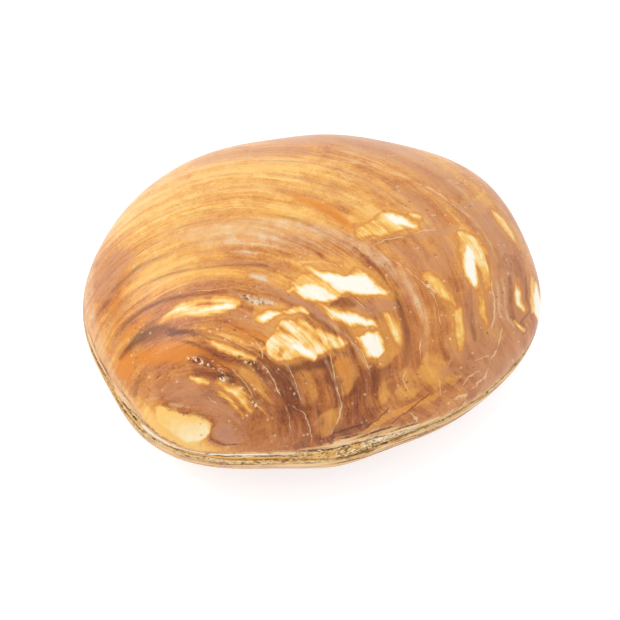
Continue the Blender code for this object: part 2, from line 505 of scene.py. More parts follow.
def twoTone(tree, factor, first, second):  # between two of the shell's colours
    return mixColours(tree, factor, srgb(*shellLook[first]), srgb(*shellLook[second]))


def between(tree, value, low, high):  # 0 below low, 1 above high, smooth between
    made = addNode(tree, "ShaderNodeMapRange", {0: value, 1: low, 2: high},
                   interpolation_type="SMOOTHSTEP")
    return made.outputs[0]


def cloudNoise(tree, place, scale, detail, roughness=0.5):
    return addNode(tree, "ShaderNodeTexNoise", {"Vector": place, "Scale": scale, "Detail": detail,
                                                "Roughness": roughness}).outputs[0]


def layerNoise(tree, place, scale, detail):  # noise stretched by a scale for each axis
    spot = addNode(tree, "ShaderNodeMapping", {"Vector": place, "Scale": scale}).outputs[0]
    return cloudNoise(tree, spot, 1.0, detail)


def streakGroup():
    tree, given, result = newGroup("growthStreaks", "ShaderNodeTree", [
        ("Sweep", "NodeSocketFloat", 0.0), ("Growth", "NodeSocketFloat", 0.0),
        ("Length", "NodeSocketFloat", 9.0), ("Width", "NodeSocketFloat", 0.012),
        ("Detail", "NodeSocketFloat", 3.0), ("Seed", "NodeSocketFloat", 0.0)],
        [("Streaks", "NodeSocketFloat")])
    spot = joined(tree, maths(tree, "DIVIDE", given["Sweep"], given["Length"]),
                  maths(tree, "DIVIDE", given["Growth"], given["Width"]), given["Seed"])
    pattern = cloudNoise(tree, spot, 1.0, given["Detail"], 0.55)
    tree.links.new(plus(tree, -2.0, (pattern, 4.0)), result["Streaks"])
    return tree


def sandGroup():  # a grain's own value, and its colour: evenness 1 draws the colours together
    tree, given, result = newGroup("sandGrains", "ShaderNodeTree", [
        ("Scale", "NodeSocketFloat", 2200.0), ("Evenness", "NodeSocketFloat", 0.0)],
        [("Pick", "NodeSocketFloat"), ("Colour", "NodeSocketColor")])
    place = addNode(tree, "ShaderNodeTexCoord").outputs["Object"]
    cells = addNode(tree, "ShaderNodeTexVoronoi", {"Vector": place,
                                                   "Scale": given["Scale"]})
    pick = addNode(tree, "ShaderNodeSeparateColor", {0: cells.outputs["Color"]}).outputs[0]
    mean = addNode(tree, "ShaderNodeRGBToBW", {0: cells.outputs["Color"]}).outputs[0]
    shade = plus(tree, pick, (minus(tree, mean, pick), given["Evenness"]))
    tree.links.new(pick, result["Pick"])
    tree.links.new(ramp(tree, shade, bedColours["grains"]), result["Colour"])
    return tree


def stoneLayers(tree, given, streaks, sand):  # the masks and noises that the colours are made from
    place = addNode(tree, "ShaderNodeTexCoord").outputs["Object"]
    layer = SimpleNamespace(place=place, cloud=lambda scale: cloudNoise(tree, place, scale, 2.0))

    # streaks get longer away from the hind end, and the oldest lines bend down towards it
    turned = maths(tree, "DIVIDE", maths(tree, "ADD", given["Sweep"], 20.0), 40.0)
    spread = times(tree, maths(tree, "POWER", turned, -0.6), -33.0)
    bend = maths(tree, "MAXIMUM", minus(tree, 18.0, given["Sweep"]), 0.0)
    layer.growth = plus(tree, given["Growth"], (times(tree, bend, bend), -0.0012),
                    (minus(tree, layer.cloud(110.0), 0.5), 0.018),
                    (minus(tree, layer.cloud(520.0), 0.5), 0.005))
    for name, (length, width, detail, seed) in shellLook["streaks"].items():
        made = addNode(tree, "ShaderNodeGroup", node_tree=streaks)
        for title, value in (("Length", length), ("Width", width), ("Detail", detail)):
            made.inputs[title].default_value = value
        tree.links.new(spread, made.inputs["Sweep"])
        tree.links.new(layer.growth, made.inputs["Growth"])
        tree.links.new(maths(tree, "ADD", given["Seed"], seed), made.inputs["Seed"])
        setattr(layer, name, made.outputs[0])

    # the hind end and the hinge side are calmer than the middle
    busy = between(tree, layer.cloud(70.0), 0.38, 0.64)
    layer.forward = between(tree, given["Sweep"], 14.0, 46.0)
    quiet = plus(tree, 0.65, (layer.forward, 0.35))
    layer.middle = times(tree, layer.middle, plus(tree, 0.45, (busy, 0.8)),
                     plus(tree, 0.5, (quiet, 0.5)))
    hinge = between(tree, given["Sweep"], 122.0, 92.0)
    quiet = times(tree, quiet, plus(tree, 0.4, (hinge, 0.6)))
    layer.fine = times(tree, layer.fine, plus(tree, 0.2, (busy, 1.0)), quiet)
    layer.hair = times(tree, layer.hair, quiet)
    layer.blotch = times(tree, layer.blotch, plus(tree, 0.6, (layer.forward, 0.4)))
    layer.ragged = minus(tree, cloudNoise(tree, place, 420.0, 5.0, 0.65), 0.5)
    layer.uneven = times(tree, layer.ragged, plus(tree, 0.5, (layer.forward, 0.5)))
    layer.calm = plus(tree, 0.3, (between(tree, given["Growth"], 0.12, 0.24), 0.7))
    layer.soft = plus(tree, times(tree, layer.middle, 0.25), (layer.blotch, 0.3), (layer.ragged, 0.8))
    layer.mottle = cloudNoise(tree, place, 2200.0, 4.0, 0.75)
    layer.pitted = maths(tree, "MAXIMUM", between(tree, given["Sweep"], 62.0, 30.0),
                     between(tree, given["Growth"], 0.45, 0.30))
    layer.bands = layerNoise(tree, place, (110.0, 110.0, 1500.0), 3.0)
    grains = addNode(tree, "ShaderNodeGroup", node_tree=sand)
    grains.inputs["Evenness"].default_value = 1.0
    layer.grainPick, layer.grainColour = grains.outputs["Pick"], grains.outputs["Colour"]
    return layer


def scoredLine(tree, given, layer, name):  # a thin broken line from its signed distance
    offset = plus(tree, given[name], (minus(tree, layer.cloud(900.0), 0.5), 0.5))
    reach = maths(tree, "MULTIPLY_ADD", layer.ragged, 5.0, 0.8, clamp=True)
    reach = minus(tree, times(tree, given[name + " Width"], reach), maths(tree, "ABSOLUTE", offset))
    return maths(tree, "MULTIPLY_ADD", reach, 12.0, 0.3, clamp=True)


def groundColour(tree, given, layer):  # banded browns and ambers
    amber = plus(tree, maths(tree, "ADD", given["Amber"], layer.soft), (layer.fine, 0.3))
    amber = between(tree, amber, -0.9, 1.0)
    tone = plus(tree, given["Tone"], (amber, 0.22))
    for name, share in shellLook["toneShares"].items():
        tone = plus(tree, tone, (times(tree, getattr(layer, name), layer.calm), share))
    tone = maths(tree, "MULTIPLY_ADD", minus(tree, layer.mottle, 0.49),
                 plus(tree, 0.4, (layer.forward, 0.3)), tone, clamp=True)
    colour = ramp(tree, tone, shellLook["ramp"])
    rosy = times(tree, between(tree, layer.rosy, 0.0, 1.0), layer.calm, 0.35)
    colour = tint(tree, colour, rosy, "rose")
    dull = times(tree, between(tree, layer.dull, -0.3, 0.9), layer.calm,
                 plus(tree, 0.36, (layer.pitted, -0.16)))
    colour = tint(tree, colour, dull, "tan")
    return tint(tree, colour, times(tree, amber, 0.45), "amber")


def stainedColour(tree, given, layer, colour):  # glow, blush with its painted sheen, and the worn patch at the beak
    glow = between(tree, maths(tree, "ADD", given["Glow"], layer.soft), -0.3, 1.1)
    colour = tint(tree, colour, times(tree, glow, 0.85), "glow")
    # blush: pinkish tan with a painted sheen of soft reflections
    blush = maths(tree, "ADD", given["Blush"], layer.soft)
    blushAndSheenColour = twoTone(tree, between(tree, blush, 0.8, 1.3), "blush", "mauve")
    blush = times(tree, between(tree, blush, -0.5, 1.0), 0.75)
    colour = mixColours(tree, blush, colour, blushAndSheenColour)
    patch = plus(tree, maths(tree, "ADD", given["Patch"], layer.soft), (layer.ragged, 1.6))
    patchColour = twoTone(tree, between(tree, patch, 0.0, 1.7), "patchEdge", "patch")
    yellow = plus(tree, layer.growth, (layer.cloud(160.0), 0.10), (given["Sweep"], 0.0008))
    yellow = plus(tree, times(tree, layer.ragged, 1.6), (between(tree, yellow, 0.17, 0.27), 1.0))
    patchColour = tint(tree, patchColour, yellow, "patchEdge")
    return mixColours(tree, between(tree, patch, -0.5, 0.4), colour, patchColour)


def darkenedColour(tree, given, layer, colour):  # dark bands and cracks
    dark = plus(tree, given["Dark"], (layer.blotch, 0.35), (layer.fine, 0.35), (layer.middle, 0.3),
                (layer.ragged, 1.0))
    cracks = between(tree, maths(tree, "ABSOLUTE", layer.cracked), 0.15, 0.05)
    cracks = times(tree, cracks, between(tree, layer.cloud(120.0), 0.46, 0.62),
                   between(tree, given["Growth"], 0.20, 0.30), 0.35)
    cracks = maths(tree, "MAXIMUM", cracks, times(tree, scoredLine(tree, given, layer, "Crack"), 1.1))
    dark = maths(tree, "MAXIMUM", dark, minus(tree, cracks, 0.1))
    darkColour = twoTone(tree, between(tree, dark, 0.7, 1.3), "dark", "soot")
    return mixColours(tree, times(tree, between(tree, dark, -0.1, 1.1), 0.85), colour, darkColour)


def grittyColour(tree, layer, gritty, colour):  # pale and dark grains in the grooves
    light = times(tree, gritty, maths(tree, "GREATER_THAN", layer.grainPick, 0.72))
    shade = times(tree, gritty, maths(tree, "LESS_THAN", layer.grainPick, 0.35))
    colour = tint(tree, colour, times(tree, light, 0.85), "gritLight")
    return tint(tree, colour, times(tree, shade, 0.7), "gritDark")


def speckledColour(tree, given, layer, pale, colour):  # pits, pale specks that are part white dust and part painted glints, flecks and scratches
    specks = addNode(tree, "ShaderNodeTexVoronoi", {"Vector": layer.place, "Scale": 1000.0})
    pick = addNode(tree, "ShaderNodeSeparateColor", {0: specks.outputs["Color"]}).outputs[1]
    near = between(tree, specks.outputs["Distance"], times(tree, layer.cloud(1700.0), 0.62), 0.08)
    near = times(tree, near, between(tree, layer.cloud(170.0), 0.40, 0.56),
                 plus(tree, 0.6, (layer.pitted, 0.9)))
    pits = times(tree, near, between(tree, pick, 0.35, 0.05), between(tree, pale, 0.1, -0.4))
    flecks = times(tree, between(tree, layer.hair, 0.55, 1.0),
                   between(tree, layer.cloud(240.0), 0.50, 0.62))
    # pale specks: white dust in pits, and painted glints
    paleMarksAndGlints = times(tree, near, between(tree, pick, 0.60, 0.95))
    paleMarksAndGlints = maths(tree, "MAXIMUM", paleMarksAndGlints, times(tree, flecks, 0.9))
    paleMarksAndGlints = maths(tree, "MAXIMUM", paleMarksAndGlints, times(tree, scoredLine(tree, given, layer, "Scratch"), 1.25))
    colour = tint(tree, colour, times(tree, pits, 0.4), "dark")
    return tint(tree, colour, times(tree, paleMarksAndGlints, 0.45), "speck_and_glint"), pits


def lippedColour(tree, layer, lip, colour):  # bare, stained and chalky layers along the margin
    lipColour = twoTone(tree, between(tree, layer.bands, 0.38, 0.66), "lip", "lipDark")
    stain = plus(tree, times(tree, layer.bands, 0.8), (layer.mottle, 0.5))
    lipColour = tint(tree, lipColour, times(tree, between(tree, stain, 0.68, 0.78), 0.9), "lipStain")
    lipColour = mixColours(tree, times(tree, between(tree, stain, 0.56, 0.46), 0.8), lipColour,
                           srgb(*bedColours["chalk"]))
    colour = tint(tree, colour, between(tree, lip, -0.7, 0.1), "lipDark")
    return mixColours(tree, between(tree, lip, -0.15, 0.4), colour, lipColour)


def crustedColour(tree, layer, crust, colour):  # bed that still clings to the shell's edge
    packed = plus(tree, -1.1, (layer.cloud(1100.0), 1.0), (layer.bands, 2.2))
    loose = plus(tree, layer.grainPick, (layer.cloud(800.0), 2.0))
    sand = mixColours(tree, maths(tree, "GREATER_THAN", loose, 1.75),
                      ramp(tree, packed, bedColours["sand"]), layer.grainColour)
    return mixColours(tree, crust, colour, sand)


def stoneGroup(streaks, sand):
    tree, given, result = newGroup("shellStone", "ShaderNodeTree", [
        (name, "NodeSocketFloat", value) for name, value in (
            ("Sweep", 60.0), ("Growth", 0.5), ("Tone", 0.5), ("Pale", -1.0), ("Amber", -1.0),
            ("Patch", -1.0), ("Haze", -1.0), ("Blush", -1.0), ("Glow", -1.0), ("Dark", -1.0),
            ("Grit", -1.0), ("Scratch", 1.0), ("Scratch Width", 0.0), ("Crack", 1.0),
            ("Crack Width", 0.0), ("Lip", -1.0), ("Crust", -1.0), ("Seed", 0.0))],
        [("Colour", "NodeSocketColor"), ("Roughness", "NodeSocketFloat"),
         ("Height", "NodeSocketFloat")])
    layer = stoneLayers(tree, given, streaks, sand)
    # the haze: chalky wear, and a painted sheen of soft reflections laid over the colour
    hazeAndSheen = plus(tree, given["Haze"], (layer.middle, 0.3), (layer.fine, 0.2), (layer.ragged, 1.4))
    hazeAndSheen = between(tree, hazeAndSheen, -0.3, 1.1)
    pale = plus(tree, given["Pale"], (layer.middle, 0.28), (layer.fine, 0.20), (layer.blotch, 0.20),
                (layer.ragged, 1.1))
    gritty = between(tree, plus(tree, given["Grit"], (layer.blotch, 0.4)), -0.1, 0.6)
    lip = plus(tree, minus(tree, given["Lip"], 0.8), (layer.bands, 1.6), (layer.ragged, 4.0))
    crust = plus(tree, minus(tree, given["Crust"], 1.2), (layer.cloud(500.0), 2.4))
    crust = between(tree, crust, -0.25, 0.25)

    colour = groundColour(tree, given, layer)
    colour = stainedColour(tree, given, layer, colour)
    colour = darkenedColour(tree, given, layer, colour)
    hazeAndSheenColour = twoTone(tree, between(tree, hazeAndSheen, 0.55, 1.0), "haze", "scar")
    colour = mixColours(tree, times(tree, hazeAndSheen, 0.7), colour, hazeAndSheenColour)
    paleColour = ramp(tree, maths(tree, "DIVIDE", pale, 1.2, clamp=True), shellLook["paleRamp"])
    colour = mixColours(tree, between(tree, pale, -0.45, 0.25), colour, paleColour)
    colour = grittyColour(tree, layer, gritty, colour)
    colour, pits = speckledColour(tree, given, layer, pale, colour)
    colour = lippedColour(tree, layer, lip, colour)
    colour = crustedColour(tree, layer, crust, colour)
    light = shellLook["light"]
    colour = mixColours(tree, 1.0, colour, (light, light, light, 1.0), "MULTIPLY")

    roughness = plus(tree, shellLook["roughness"], (hazeAndSheen, 0.15), (crust, 0.3), (gritty, 0.25),
                     (between(tree, lip, -0.15, 0.15), 0.2))
    height = plus(tree, times(tree, layer.middle, 0.4), (layer.fine, 0.3), (layer.hair, 0.15),
                  (gritty, times(tree, layer.grainPick, 2.0)))
    height = plus(tree, minus(tree, height, times(tree, pits, 1.5)),
                  (crust, times(tree, layer.grainPick, 3.0)))
    for name, value in (("Colour", colour), ("Roughness", roughness), ("Height", height)):
        tree.links.new(value, result[name])
    return tree


def newMaterial(name, fixed):  # a Principled material with its plain values set
    material = bpy.data.materials.new(name)
    material.use_nodes = True
    shader = material.node_tree.nodes["Principled BSDF"]
    for title, value in fixed.items():
        shader.inputs[title].default_value = value
    return material, material.node_tree, shader


def addBump(tree, shader, height, strength, distance):
    bump = addNode(tree, "ShaderNodeBump", {"Height": height, "Strength": strength,
                                            "Distance": distance})
    tree.links.new(bump.outputs[0], shader.inputs["Normal"])


def shellMaterial(name, stone, seed):
    material, tree, shader = newMaterial(name, {
        "Specular IOR Level": shellLook["specular"], "Coat Weight": shellLook["coat"],
        "Coat Roughness": shellLook["coatRoughness"]})
    made = addNode(tree, "ShaderNodeGroup", node_tree=stone)
    for socket in made.inputs:
        if socket.name == "Seed":
            socket.default_value = seed
        else:
            field = addNode(tree, "ShaderNodeAttribute", attribute_name=socket.name.lower())
            tree.links.new(field.outputs["Fac"], socket)
    tree.links.new(made.outputs["Colour"], shader.inputs["Base Color"])
    tree.links.new(made.outputs["Roughness"], shader.inputs["Roughness"])
    addBump(tree, shader, made.outputs["Height"], shellLook["bumpStrength"],
            shellLook["bumpDistance"])
    return material


sandTree = sandGroup()
stoneTree = stoneGroup(streakGroup(), sandTree)
print("shell stone ready")

# the upper valve's markings: runs of (sweep, growth, half width) along the growth lines; the
# strength comes first, then how many degrees it takes to fade past its ends, then any edge width
upperMarks = {
    "pale": (  # bare shell: 0.6 is yellow, 0.9 cream and 1.2 white; below 0 is a gap
        (1.5, ((34.8, 0.729, 0.006), (36.0, 0.713, 0.015), (37.2, 0.708, 0.020),
               (38.5, 0.703, 0.017), (40.2, 0.700, 0.007)), 0.5),
        (0.46, ((34.6, 0.724, 0.006), (36.2, 0.700, 0.024), (38.0, 0.680, 0.036),
                (39.6, 0.664, 0.044), (41.0, 0.642, 0.038), (42.0, 0.636, 0.024),
                (43.2, 0.634, 0.006)), 0.8, 0.026),
        (0.95, ((34.6, 0.752, 0.007), (35.6, 0.746, 0.010), (36.6, 0.741, 0.006)), 0.5, 0.012),
        (1.5, ((19.8, 0.791, 0.005), (21.0, 0.791, 0.016), (22.6, 0.790, 0.024),
               (24.2, 0.795, 0.027), (25.6, 0.801, 0.023), (27.0, 0.810, 0.010)), 0.5),
        (0.55, ((17.2, 0.812, 0.008), (18.9, 0.815, 0.020), (21.3, 0.814, 0.030),
                (24.0, 0.814, 0.040), (26.5, 0.813, 0.034), (28.6, 0.811, 0.014)), 0.8, 0.022),
        (0.70, ((21.6, 0.956, 0.006), (24.0, 0.946, 0.014), (26.0, 0.940, 0.017),
                (27.6, 0.932, 0.008)), 0.6, 0.018),
        (0.45, ((13.6, 0.826, 0.005), (15.0, 0.816, 0.009), (16.5, 0.808, 0.009),
                (18.0, 0.804, 0.005)), 0.8, 0.018),
        (-0.9, ((17.6, 0.814, 0.003), (20.2, 0.809, 0.005), (22.3, 0.809, 0.005),
                (24.0, 0.806, 0.003)), 0.4),
        (1.4, ((30.0, 0.569, 0.006), (31.5, 0.553, 0.014), (33.0, 0.543, 0.020),
               (35.0, 0.533, 0.027), (37.0, 0.523, 0.030), (38.5, 0.512, 0.032),
               (40.0, 0.501, 0.023), (42.0, 0.495, 0.017), (44.0, 0.490, 0.013),
               (46.0, 0.485, 0.007), (48.0, 0.482, 0.003)), 0.6),
        (-0.9, ((39.6, 0.522, 0.002), (41.5, 0.519, 0.003)), 0.4),
        (1.15, ((38.3, 0.474, 0.007), (40.0, 0.463, 0.017), (41.5, 0.455, 0.023),
                (43.0, 0.450, 0.026), (45.0, 0.446, 0.025), (47.0, 0.441, 0.018),
                (48.3, 0.436, 0.011), (49.2, 0.427, 0.010), (50.0, 0.420, 0.004)), 0.6),
        (0.55, ((38.0, 0.478, 0.006), (42.0, 0.462, 0.024), (46.0, 0.455, 0.026),
                (49.0, 0.445, 0.020), (50.5, 0.435, 0.006)), 0.6),
        (1.3, ((27.0, 0.511, 0.005), (28.5, 0.499, 0.012), (30.0, 0.484, 0.016),
               (31.5, 0.472, 0.018), (33.0, 0.464, 0.018), (35.0, 0.454, 0.016),
               (37.0, 0.445, 0.011), (39.0, 0.438, 0.006), (41.0, 0.433, 0.003)), 0.5),
        (1.25, ((22.4, 0.500, 0.016), (24.0, 0.490, 0.028), (26.0, 0.484, 0.026),
                (27.5, 0.472, 0.017), (28.6, 0.457, 0.006)), 0.6),
        (0.60, ((20.8, 0.553, 0.005), (22.0, 0.550, 0.013), (24.0, 0.546, 0.016),
                (26.0, 0.543, 0.010), (27.0, 0.540, 0.004)), 0.6, 0.018),
        (0.66, ((29.0, 0.432, 0.004), (30.0, 0.423, 0.010), (31.5, 0.411, 0.018),
                (33.0, 0.395, 0.027), (35.0, 0.378, 0.035), (37.0, 0.367, 0.038),
                (39.0, 0.356, 0.042), (41.0, 0.347, 0.048), (43.0, 0.335, 0.049),
                (45.0, 0.328, 0.047), (47.0, 0.320, 0.041), (48.5, 0.313, 0.027),
                (49.6, 0.310, 0.010)), 0.4),
        (1.4, ((30.8, 0.418, 0.005), (33.0, 0.405, 0.011), (36.0, 0.396, 0.010),
               (39.0, 0.388, 0.006)), 0.6),
        (1.4, ((35.0, 0.376, 0.005), (38.0, 0.371, 0.009), (42.0, 0.368, 0.010),
               (46.0, 0.361, 0.008), (47.2, 0.352, 0.004)), 0.6),
        (1.3, ((33.6, 0.353, 0.010), (36.0, 0.348, 0.016), (39.0, 0.340, 0.017),
               (42.0, 0.332, 0.013), (45.0, 0.328, 0.008)), 0.6),
        (1.05, ((39.5, 0.318, 0.008), (43.0, 0.315, 0.006), (47.5, 0.312, 0.010)), 0.5),
        (0.85, ((43.0, 0.292, 0.008), (47.0, 0.290, 0.008)), 0.5),
        (-0.5, ((32.0, 0.392, 0.003), (38.0, 0.380, 0.004), (44.0, 0.376, 0.003)), 0.6),
        (-0.55, ((38.0, 0.358, 0.002), (44.0, 0.350, 0.004), (48.5, 0.335, 0.004)), 0.5),
        (-0.7, ((43.0, 0.303, 0.003), (44.5, 0.303, 0.003)), 0.3),
        (-0.6, ((43.4, 0.311, 0.002), (44.6, 0.311, 0.002)), 0.3),
        (0.62, ((42.5, 0.403, 0.004), (44.5, 0.398, 0.011), (46.5, 0.388, 0.011),
                (48.5, 0.375, 0.005)), 0.6),
        (1.3, ((48.6, 0.372, 0.005), (50.0, 0.362, 0.010), (51.5, 0.352, 0.014),
               (53.0, 0.344, 0.015), (55.0, 0.339, 0.009), (56.4, 0.336, 0.004)), 0.6),
        (0.95, ((64.0, 0.352, 0.010), (67.0, 0.350, 0.015), (72.0, 0.348, 0.013),
                (78.0, 0.350, 0.009), (82.0, 0.352, 0.004)), 1.0),
        (0.68, ((63.0, 0.356, 0.010), (68.0, 0.352, 0.020), (72.0, 0.347, 0.024),
                (77.0, 0.350, 0.024), (82.0, 0.357, 0.018), (88.0, 0.352, 0.010),
                (92.0, 0.350, 0.004)), 1.0, 0.016),
        (-0.5, ((68.0, 0.355, 0.002), (76.0, 0.356, 0.003)), 0.6),
        (1.3, ((13.2, 0.751, 0.006), (14.9, 0.742, 0.010), (16.9, 0.736, 0.011),
               (18.9, 0.734, 0.007)), 0.6, 0.014),
        (0.5, ((13.2, 0.740, 0.006), (15.5, 0.732, 0.014), (18.5, 0.724, 0.012)), 0.5, 0.018),
        (1.2, ((12.6, 0.957, 0.008), (14.0, 0.936, 0.014), (15.5, 0.925, 0.012),
               (16.8, 0.918, 0.005)), 0.4),
        (0.9, ((9.6, 0.985, 0.006), (10.5, 0.955, 0.010), (11.4, 0.930, 0.006)), 0.4),
        (1.3, ((10.6, 1.036, 0.008), (11.8, 1.020, 0.026), (13.4, 1.006, 0.026),
               (16.0, 0.996, 0.008)), 0.5),
        (0.6, ((12.0, 0.994, 0.012), (13.2, 0.988, 0.014), (16.6, 0.980, 0.008)), 0.5),
        (0.55, ((20.0, 0.722, 0.008), (22.3, 0.699, 0.016), (24.5, 0.687, 0.019),
                (26.8, 0.678, 0.010)), 0.6, 0.020),
        (1.2, ((23.4, 0.688, 0.004), (24.2, 0.685, 0.005)), 0.3),
        (0.64, ((51.0, 0.258, 0.006), (56.0, 0.260, 0.009), (62.0, 0.262, 0.009),
                (68.0, 0.267, 0.007), (72.0, 0.273, 0.005), (77.0, 0.283, 0.003)), 1.0),
        (0.35, ((51.0, 0.284, 0.003), (60.0, 0.286, 0.005), (68.0, 0.292, 0.007),
                (76.0, 0.302, 0.005)), 1.5),
        (0.40, ((41.0, 0.183, 0.005), (48.0, 0.186, 0.009), (58.0, 0.190, 0.008),
                (65.0, 0.194, 0.004)), 1.0, 0.016),
        (0.45, ((71.0, 0.193, 0.005), (78.0, 0.199, 0.008), (83.0, 0.206, 0.004)), 1.0),
        (0.35, ((44.0, 0.161, 0.003), (54.0, 0.170, 0.005), (64.0, 0.176, 0.004)), 1.0, 0.016),
        (0.6, ((49.0, 0.292, 0.005), (51.0, 0.280, 0.006), (50.0, 0.268, 0.004)), 0.5),
    ),
    "amber": (  # soft golden stains
        (1.3, ((20.0, 0.040, 0.020), (60.0, 0.020, 0.022), (100.0, 0.030, 0.026),
               (114.0, 0.060, 0.040), (122.0, 0.120, 0.070), (134.0, 0.100, 0.060)), 4.0, 0.03),
        (1.2, ((10.2, 0.690, 0.014), (12.4, 0.650, 0.030), (14.2, 0.612, 0.018)), 0.6),
        (0.9, ((24.2, 0.400, 0.012), (27.0, 0.402, 0.022), (30.0, 0.393, 0.010)), 0.6),
        (0.9, ((20.0, 0.360, 0.008), (21.0, 0.340, 0.022), (21.6, 0.318, 0.008)), 0.4),
        (0.7, ((8.4, 0.689, 0.020), (9.7, 0.607, 0.024), (10.9, 0.533, 0.022),
               (12.3, 0.470, 0.016)), 0.5),
        (1.2, ((28.0, 0.585, 0.006), (34.0, 0.545, 0.036), (40.0, 0.510, 0.044),
               (46.0, 0.470, 0.050), (50.0, 0.440, 0.030), (53.0, 0.430, 0.010)), 1.0),
        (1.0, ((20.5, 0.520, 0.030), (24.0, 0.505, 0.056), (28.0, 0.480, 0.036),
               (34.0, 0.458, 0.022), (41.0, 0.434, 0.010)), 0.8),
        (1.2, ((28.5, 0.440, 0.006), (34.0, 0.380, 0.036), (40.0, 0.345, 0.056),
               (46.0, 0.330, 0.056), (50.0, 0.345, 0.036), (57.0, 0.342, 0.020)), 0.8),
        (1.0, ((50.0, 0.442, 0.008), (53.0, 0.436, 0.010), (56.0, 0.427, 0.006)), 0.6),
        (1.2, ((33.5, 0.735, 0.010), (37.0, 0.690, 0.030), (41.0, 0.655, 0.050),
               (44.5, 0.640, 0.030)), 1.0),
        (1.0, ((17.0, 0.810, 0.020), (20.0, 0.820, 0.040), (25.0, 0.815, 0.048),
               (29.5, 0.808, 0.024)), 1.0),
        (1.0, ((22.0, 0.960, 0.010), (24.0, 0.950, 0.018), (26.0, 0.940, 0.022),
               (27.0, 0.936, 0.014)), 0.6),
        (0.7, ((29.5, 0.910, 0.036), (31.5, 0.910, 0.040)), 0.8),
        (1.3, ((10.1, 0.895, 0.014), (11.0, 0.867, 0.018), (12.2, 0.842, 0.018),
               (13.5, 0.820, 0.013), (15.5, 0.803, 0.013), (18.5, 0.797, 0.012)), 0.5),
        (0.9, ((13.0, 0.740, 0.014), (15.5, 0.722, 0.024), (18.5, 0.716, 0.018),
               (20.5, 0.715, 0.018), (23.0, 0.700, 0.018), (26.5, 0.684, 0.012)), 0.6),
        (0.6, ((22.6, 0.402, 0.018), (25.0, 0.402, 0.022), (28.6, 0.398, 0.016)), 0.8),
        (0.5, ((17.4, 0.342, 0.016), (19.0, 0.342, 0.026), (21.0, 0.342, 0.014)), 0.6),
        (0.5, ((27.0, 0.312, 0.008), (31.0, 0.314, 0.013), (35.0, 0.310, 0.006)), 1.0),
        (2.0, ((38.0, 0.228, 0.004), (45.0, 0.227, 0.015), (52.0, 0.230, 0.016),
               (58.0, 0.232, 0.004)), 3.0, 0.012),
        (0.8, ((41.0, 0.184, 0.010), (52.0, 0.188, 0.013), (66.0, 0.194, 0.008)), 1.0),
        (0.8, ((50.0, 0.283, 0.010), (62.0, 0.290, 0.012), (78.0, 0.304, 0.008)), 1.0),
        (0.5, ((10.0, 0.690, 0.012), (11.5, 0.655, 0.014), (13.0, 0.625, 0.012)), 0.5),
        (0.5, ((12.2, 0.700, 0.010), (13.5, 0.665, 0.012), (15.5, 0.630, 0.008)), 0.5),
        (0.5, ((11.6, 0.600, 0.012), (13.0, 0.570, 0.012), (14.5, 0.540, 0.008)), 0.5),
        (0.4, ((14.0, 0.572, 0.010), (16.5, 0.560, 0.010)), 0.5),
        (0.4, ((14.8, 0.500, 0.012), (17.0, 0.494, 0.014)), 0.5),
        (0.4, ((8.4, 0.760, 0.014), (9.6, 0.715, 0.010)), 0.4),
        (0.5, ((38.0, 0.905, 0.010), (44.0, 0.880, 0.010)), 1.0),
        (0.5, ((8.1, 1.105, 0.026), (9.2, 1.090, 0.026)), 0.4),
        (0.8, ((56.0, 0.733, 0.006), (64.0, 0.728, 0.012), (74.0, 0.728, 0.010)), 2.0),
        (1.0, ((40.0, 0.596, 0.003), (50.0, 0.592, 0.006), (62.0, 0.588, 0.005)), 1.5),
        (1.2, ((74.0, 0.466, 0.012), (84.0, 0.476, 0.016), (97.0, 0.480, 0.012)), 4.0),
        (1.0, ((68.0, 0.424, 0.008), (80.0, 0.430, 0.014), (95.0, 0.436, 0.010)), 4.0),
    ),
    "patch": (  # worn pale shell at the beak
        (1.6, ((58.5, 0.085, 0.010), (61.0, 0.080, 0.026), (65.0, 0.076, 0.038),
               (72.0, 0.075, 0.043), (83.0, 0.075, 0.044), (90.0, 0.079, 0.045),
               (97.0, 0.089, 0.048), (104.0, 0.098, 0.050), (108.0, 0.108, 0.052),
               (112.0, 0.120, 0.056), (116.0, 0.126, 0.050), (120.0, 0.132, 0.034),
               (123.0, 0.140, 0.012)), 0.8),
    ),
    "haze": (  # chalky wear and pale growth lines, with painted sheen: soft reflections painted as pale veils
        (0.5, ((20.0, 0.630, 0.010), (28.0, 0.622, 0.018), (35.0, 0.605, 0.022),
               (42.0, 0.590, 0.022), (50.0, 0.572, 0.020), (58.0, 0.558, 0.018),
               (66.0, 0.545, 0.020), (78.0, 0.540, 0.010)), 4.0, 0.022),
        (0.55, ((46.0, 0.545, 0.012), (56.0, 0.525, 0.030), (66.0, 0.522, 0.042),
                (76.0, 0.530, 0.034), (82.0, 0.540, 0.012)), 4.0, 0.030),
        (0.5, ((103.0, 0.640, 0.030), (110.0, 0.530, 0.036), (114.0, 0.460, 0.036),
               (118.0, 0.390, 0.036), (122.0, 0.310, 0.034), (127.0, 0.215, 0.026)), 2.0, 0.030),
        (0.9, ((37.0, 0.600, 0.006), (40.0, 0.598, 0.008)), 0.6),
        (0.75, ((49.5, 0.570, 0.008), (52.0, 0.568, 0.008)), 0.8),
        (0.55, ((56.0, 0.556, 0.006), (62.0, 0.553, 0.008), (70.0, 0.550, 0.006)), 2.0),
        (0.6, ((64.0, 0.535, 0.004), (76.0, 0.530, 0.008)), 2.0),
        (1.1, ((61.0, 0.475, 0.006), (64.0, 0.477, 0.010), (67.0, 0.475, 0.006)), 0.8),
        (1.1, ((51.5, 0.382, 0.005), (54.0, 0.376, 0.011), (58.0, 0.371, 0.011),
               (62.0, 0.375, 0.008), (66.5, 0.383, 0.003)), 0.8),
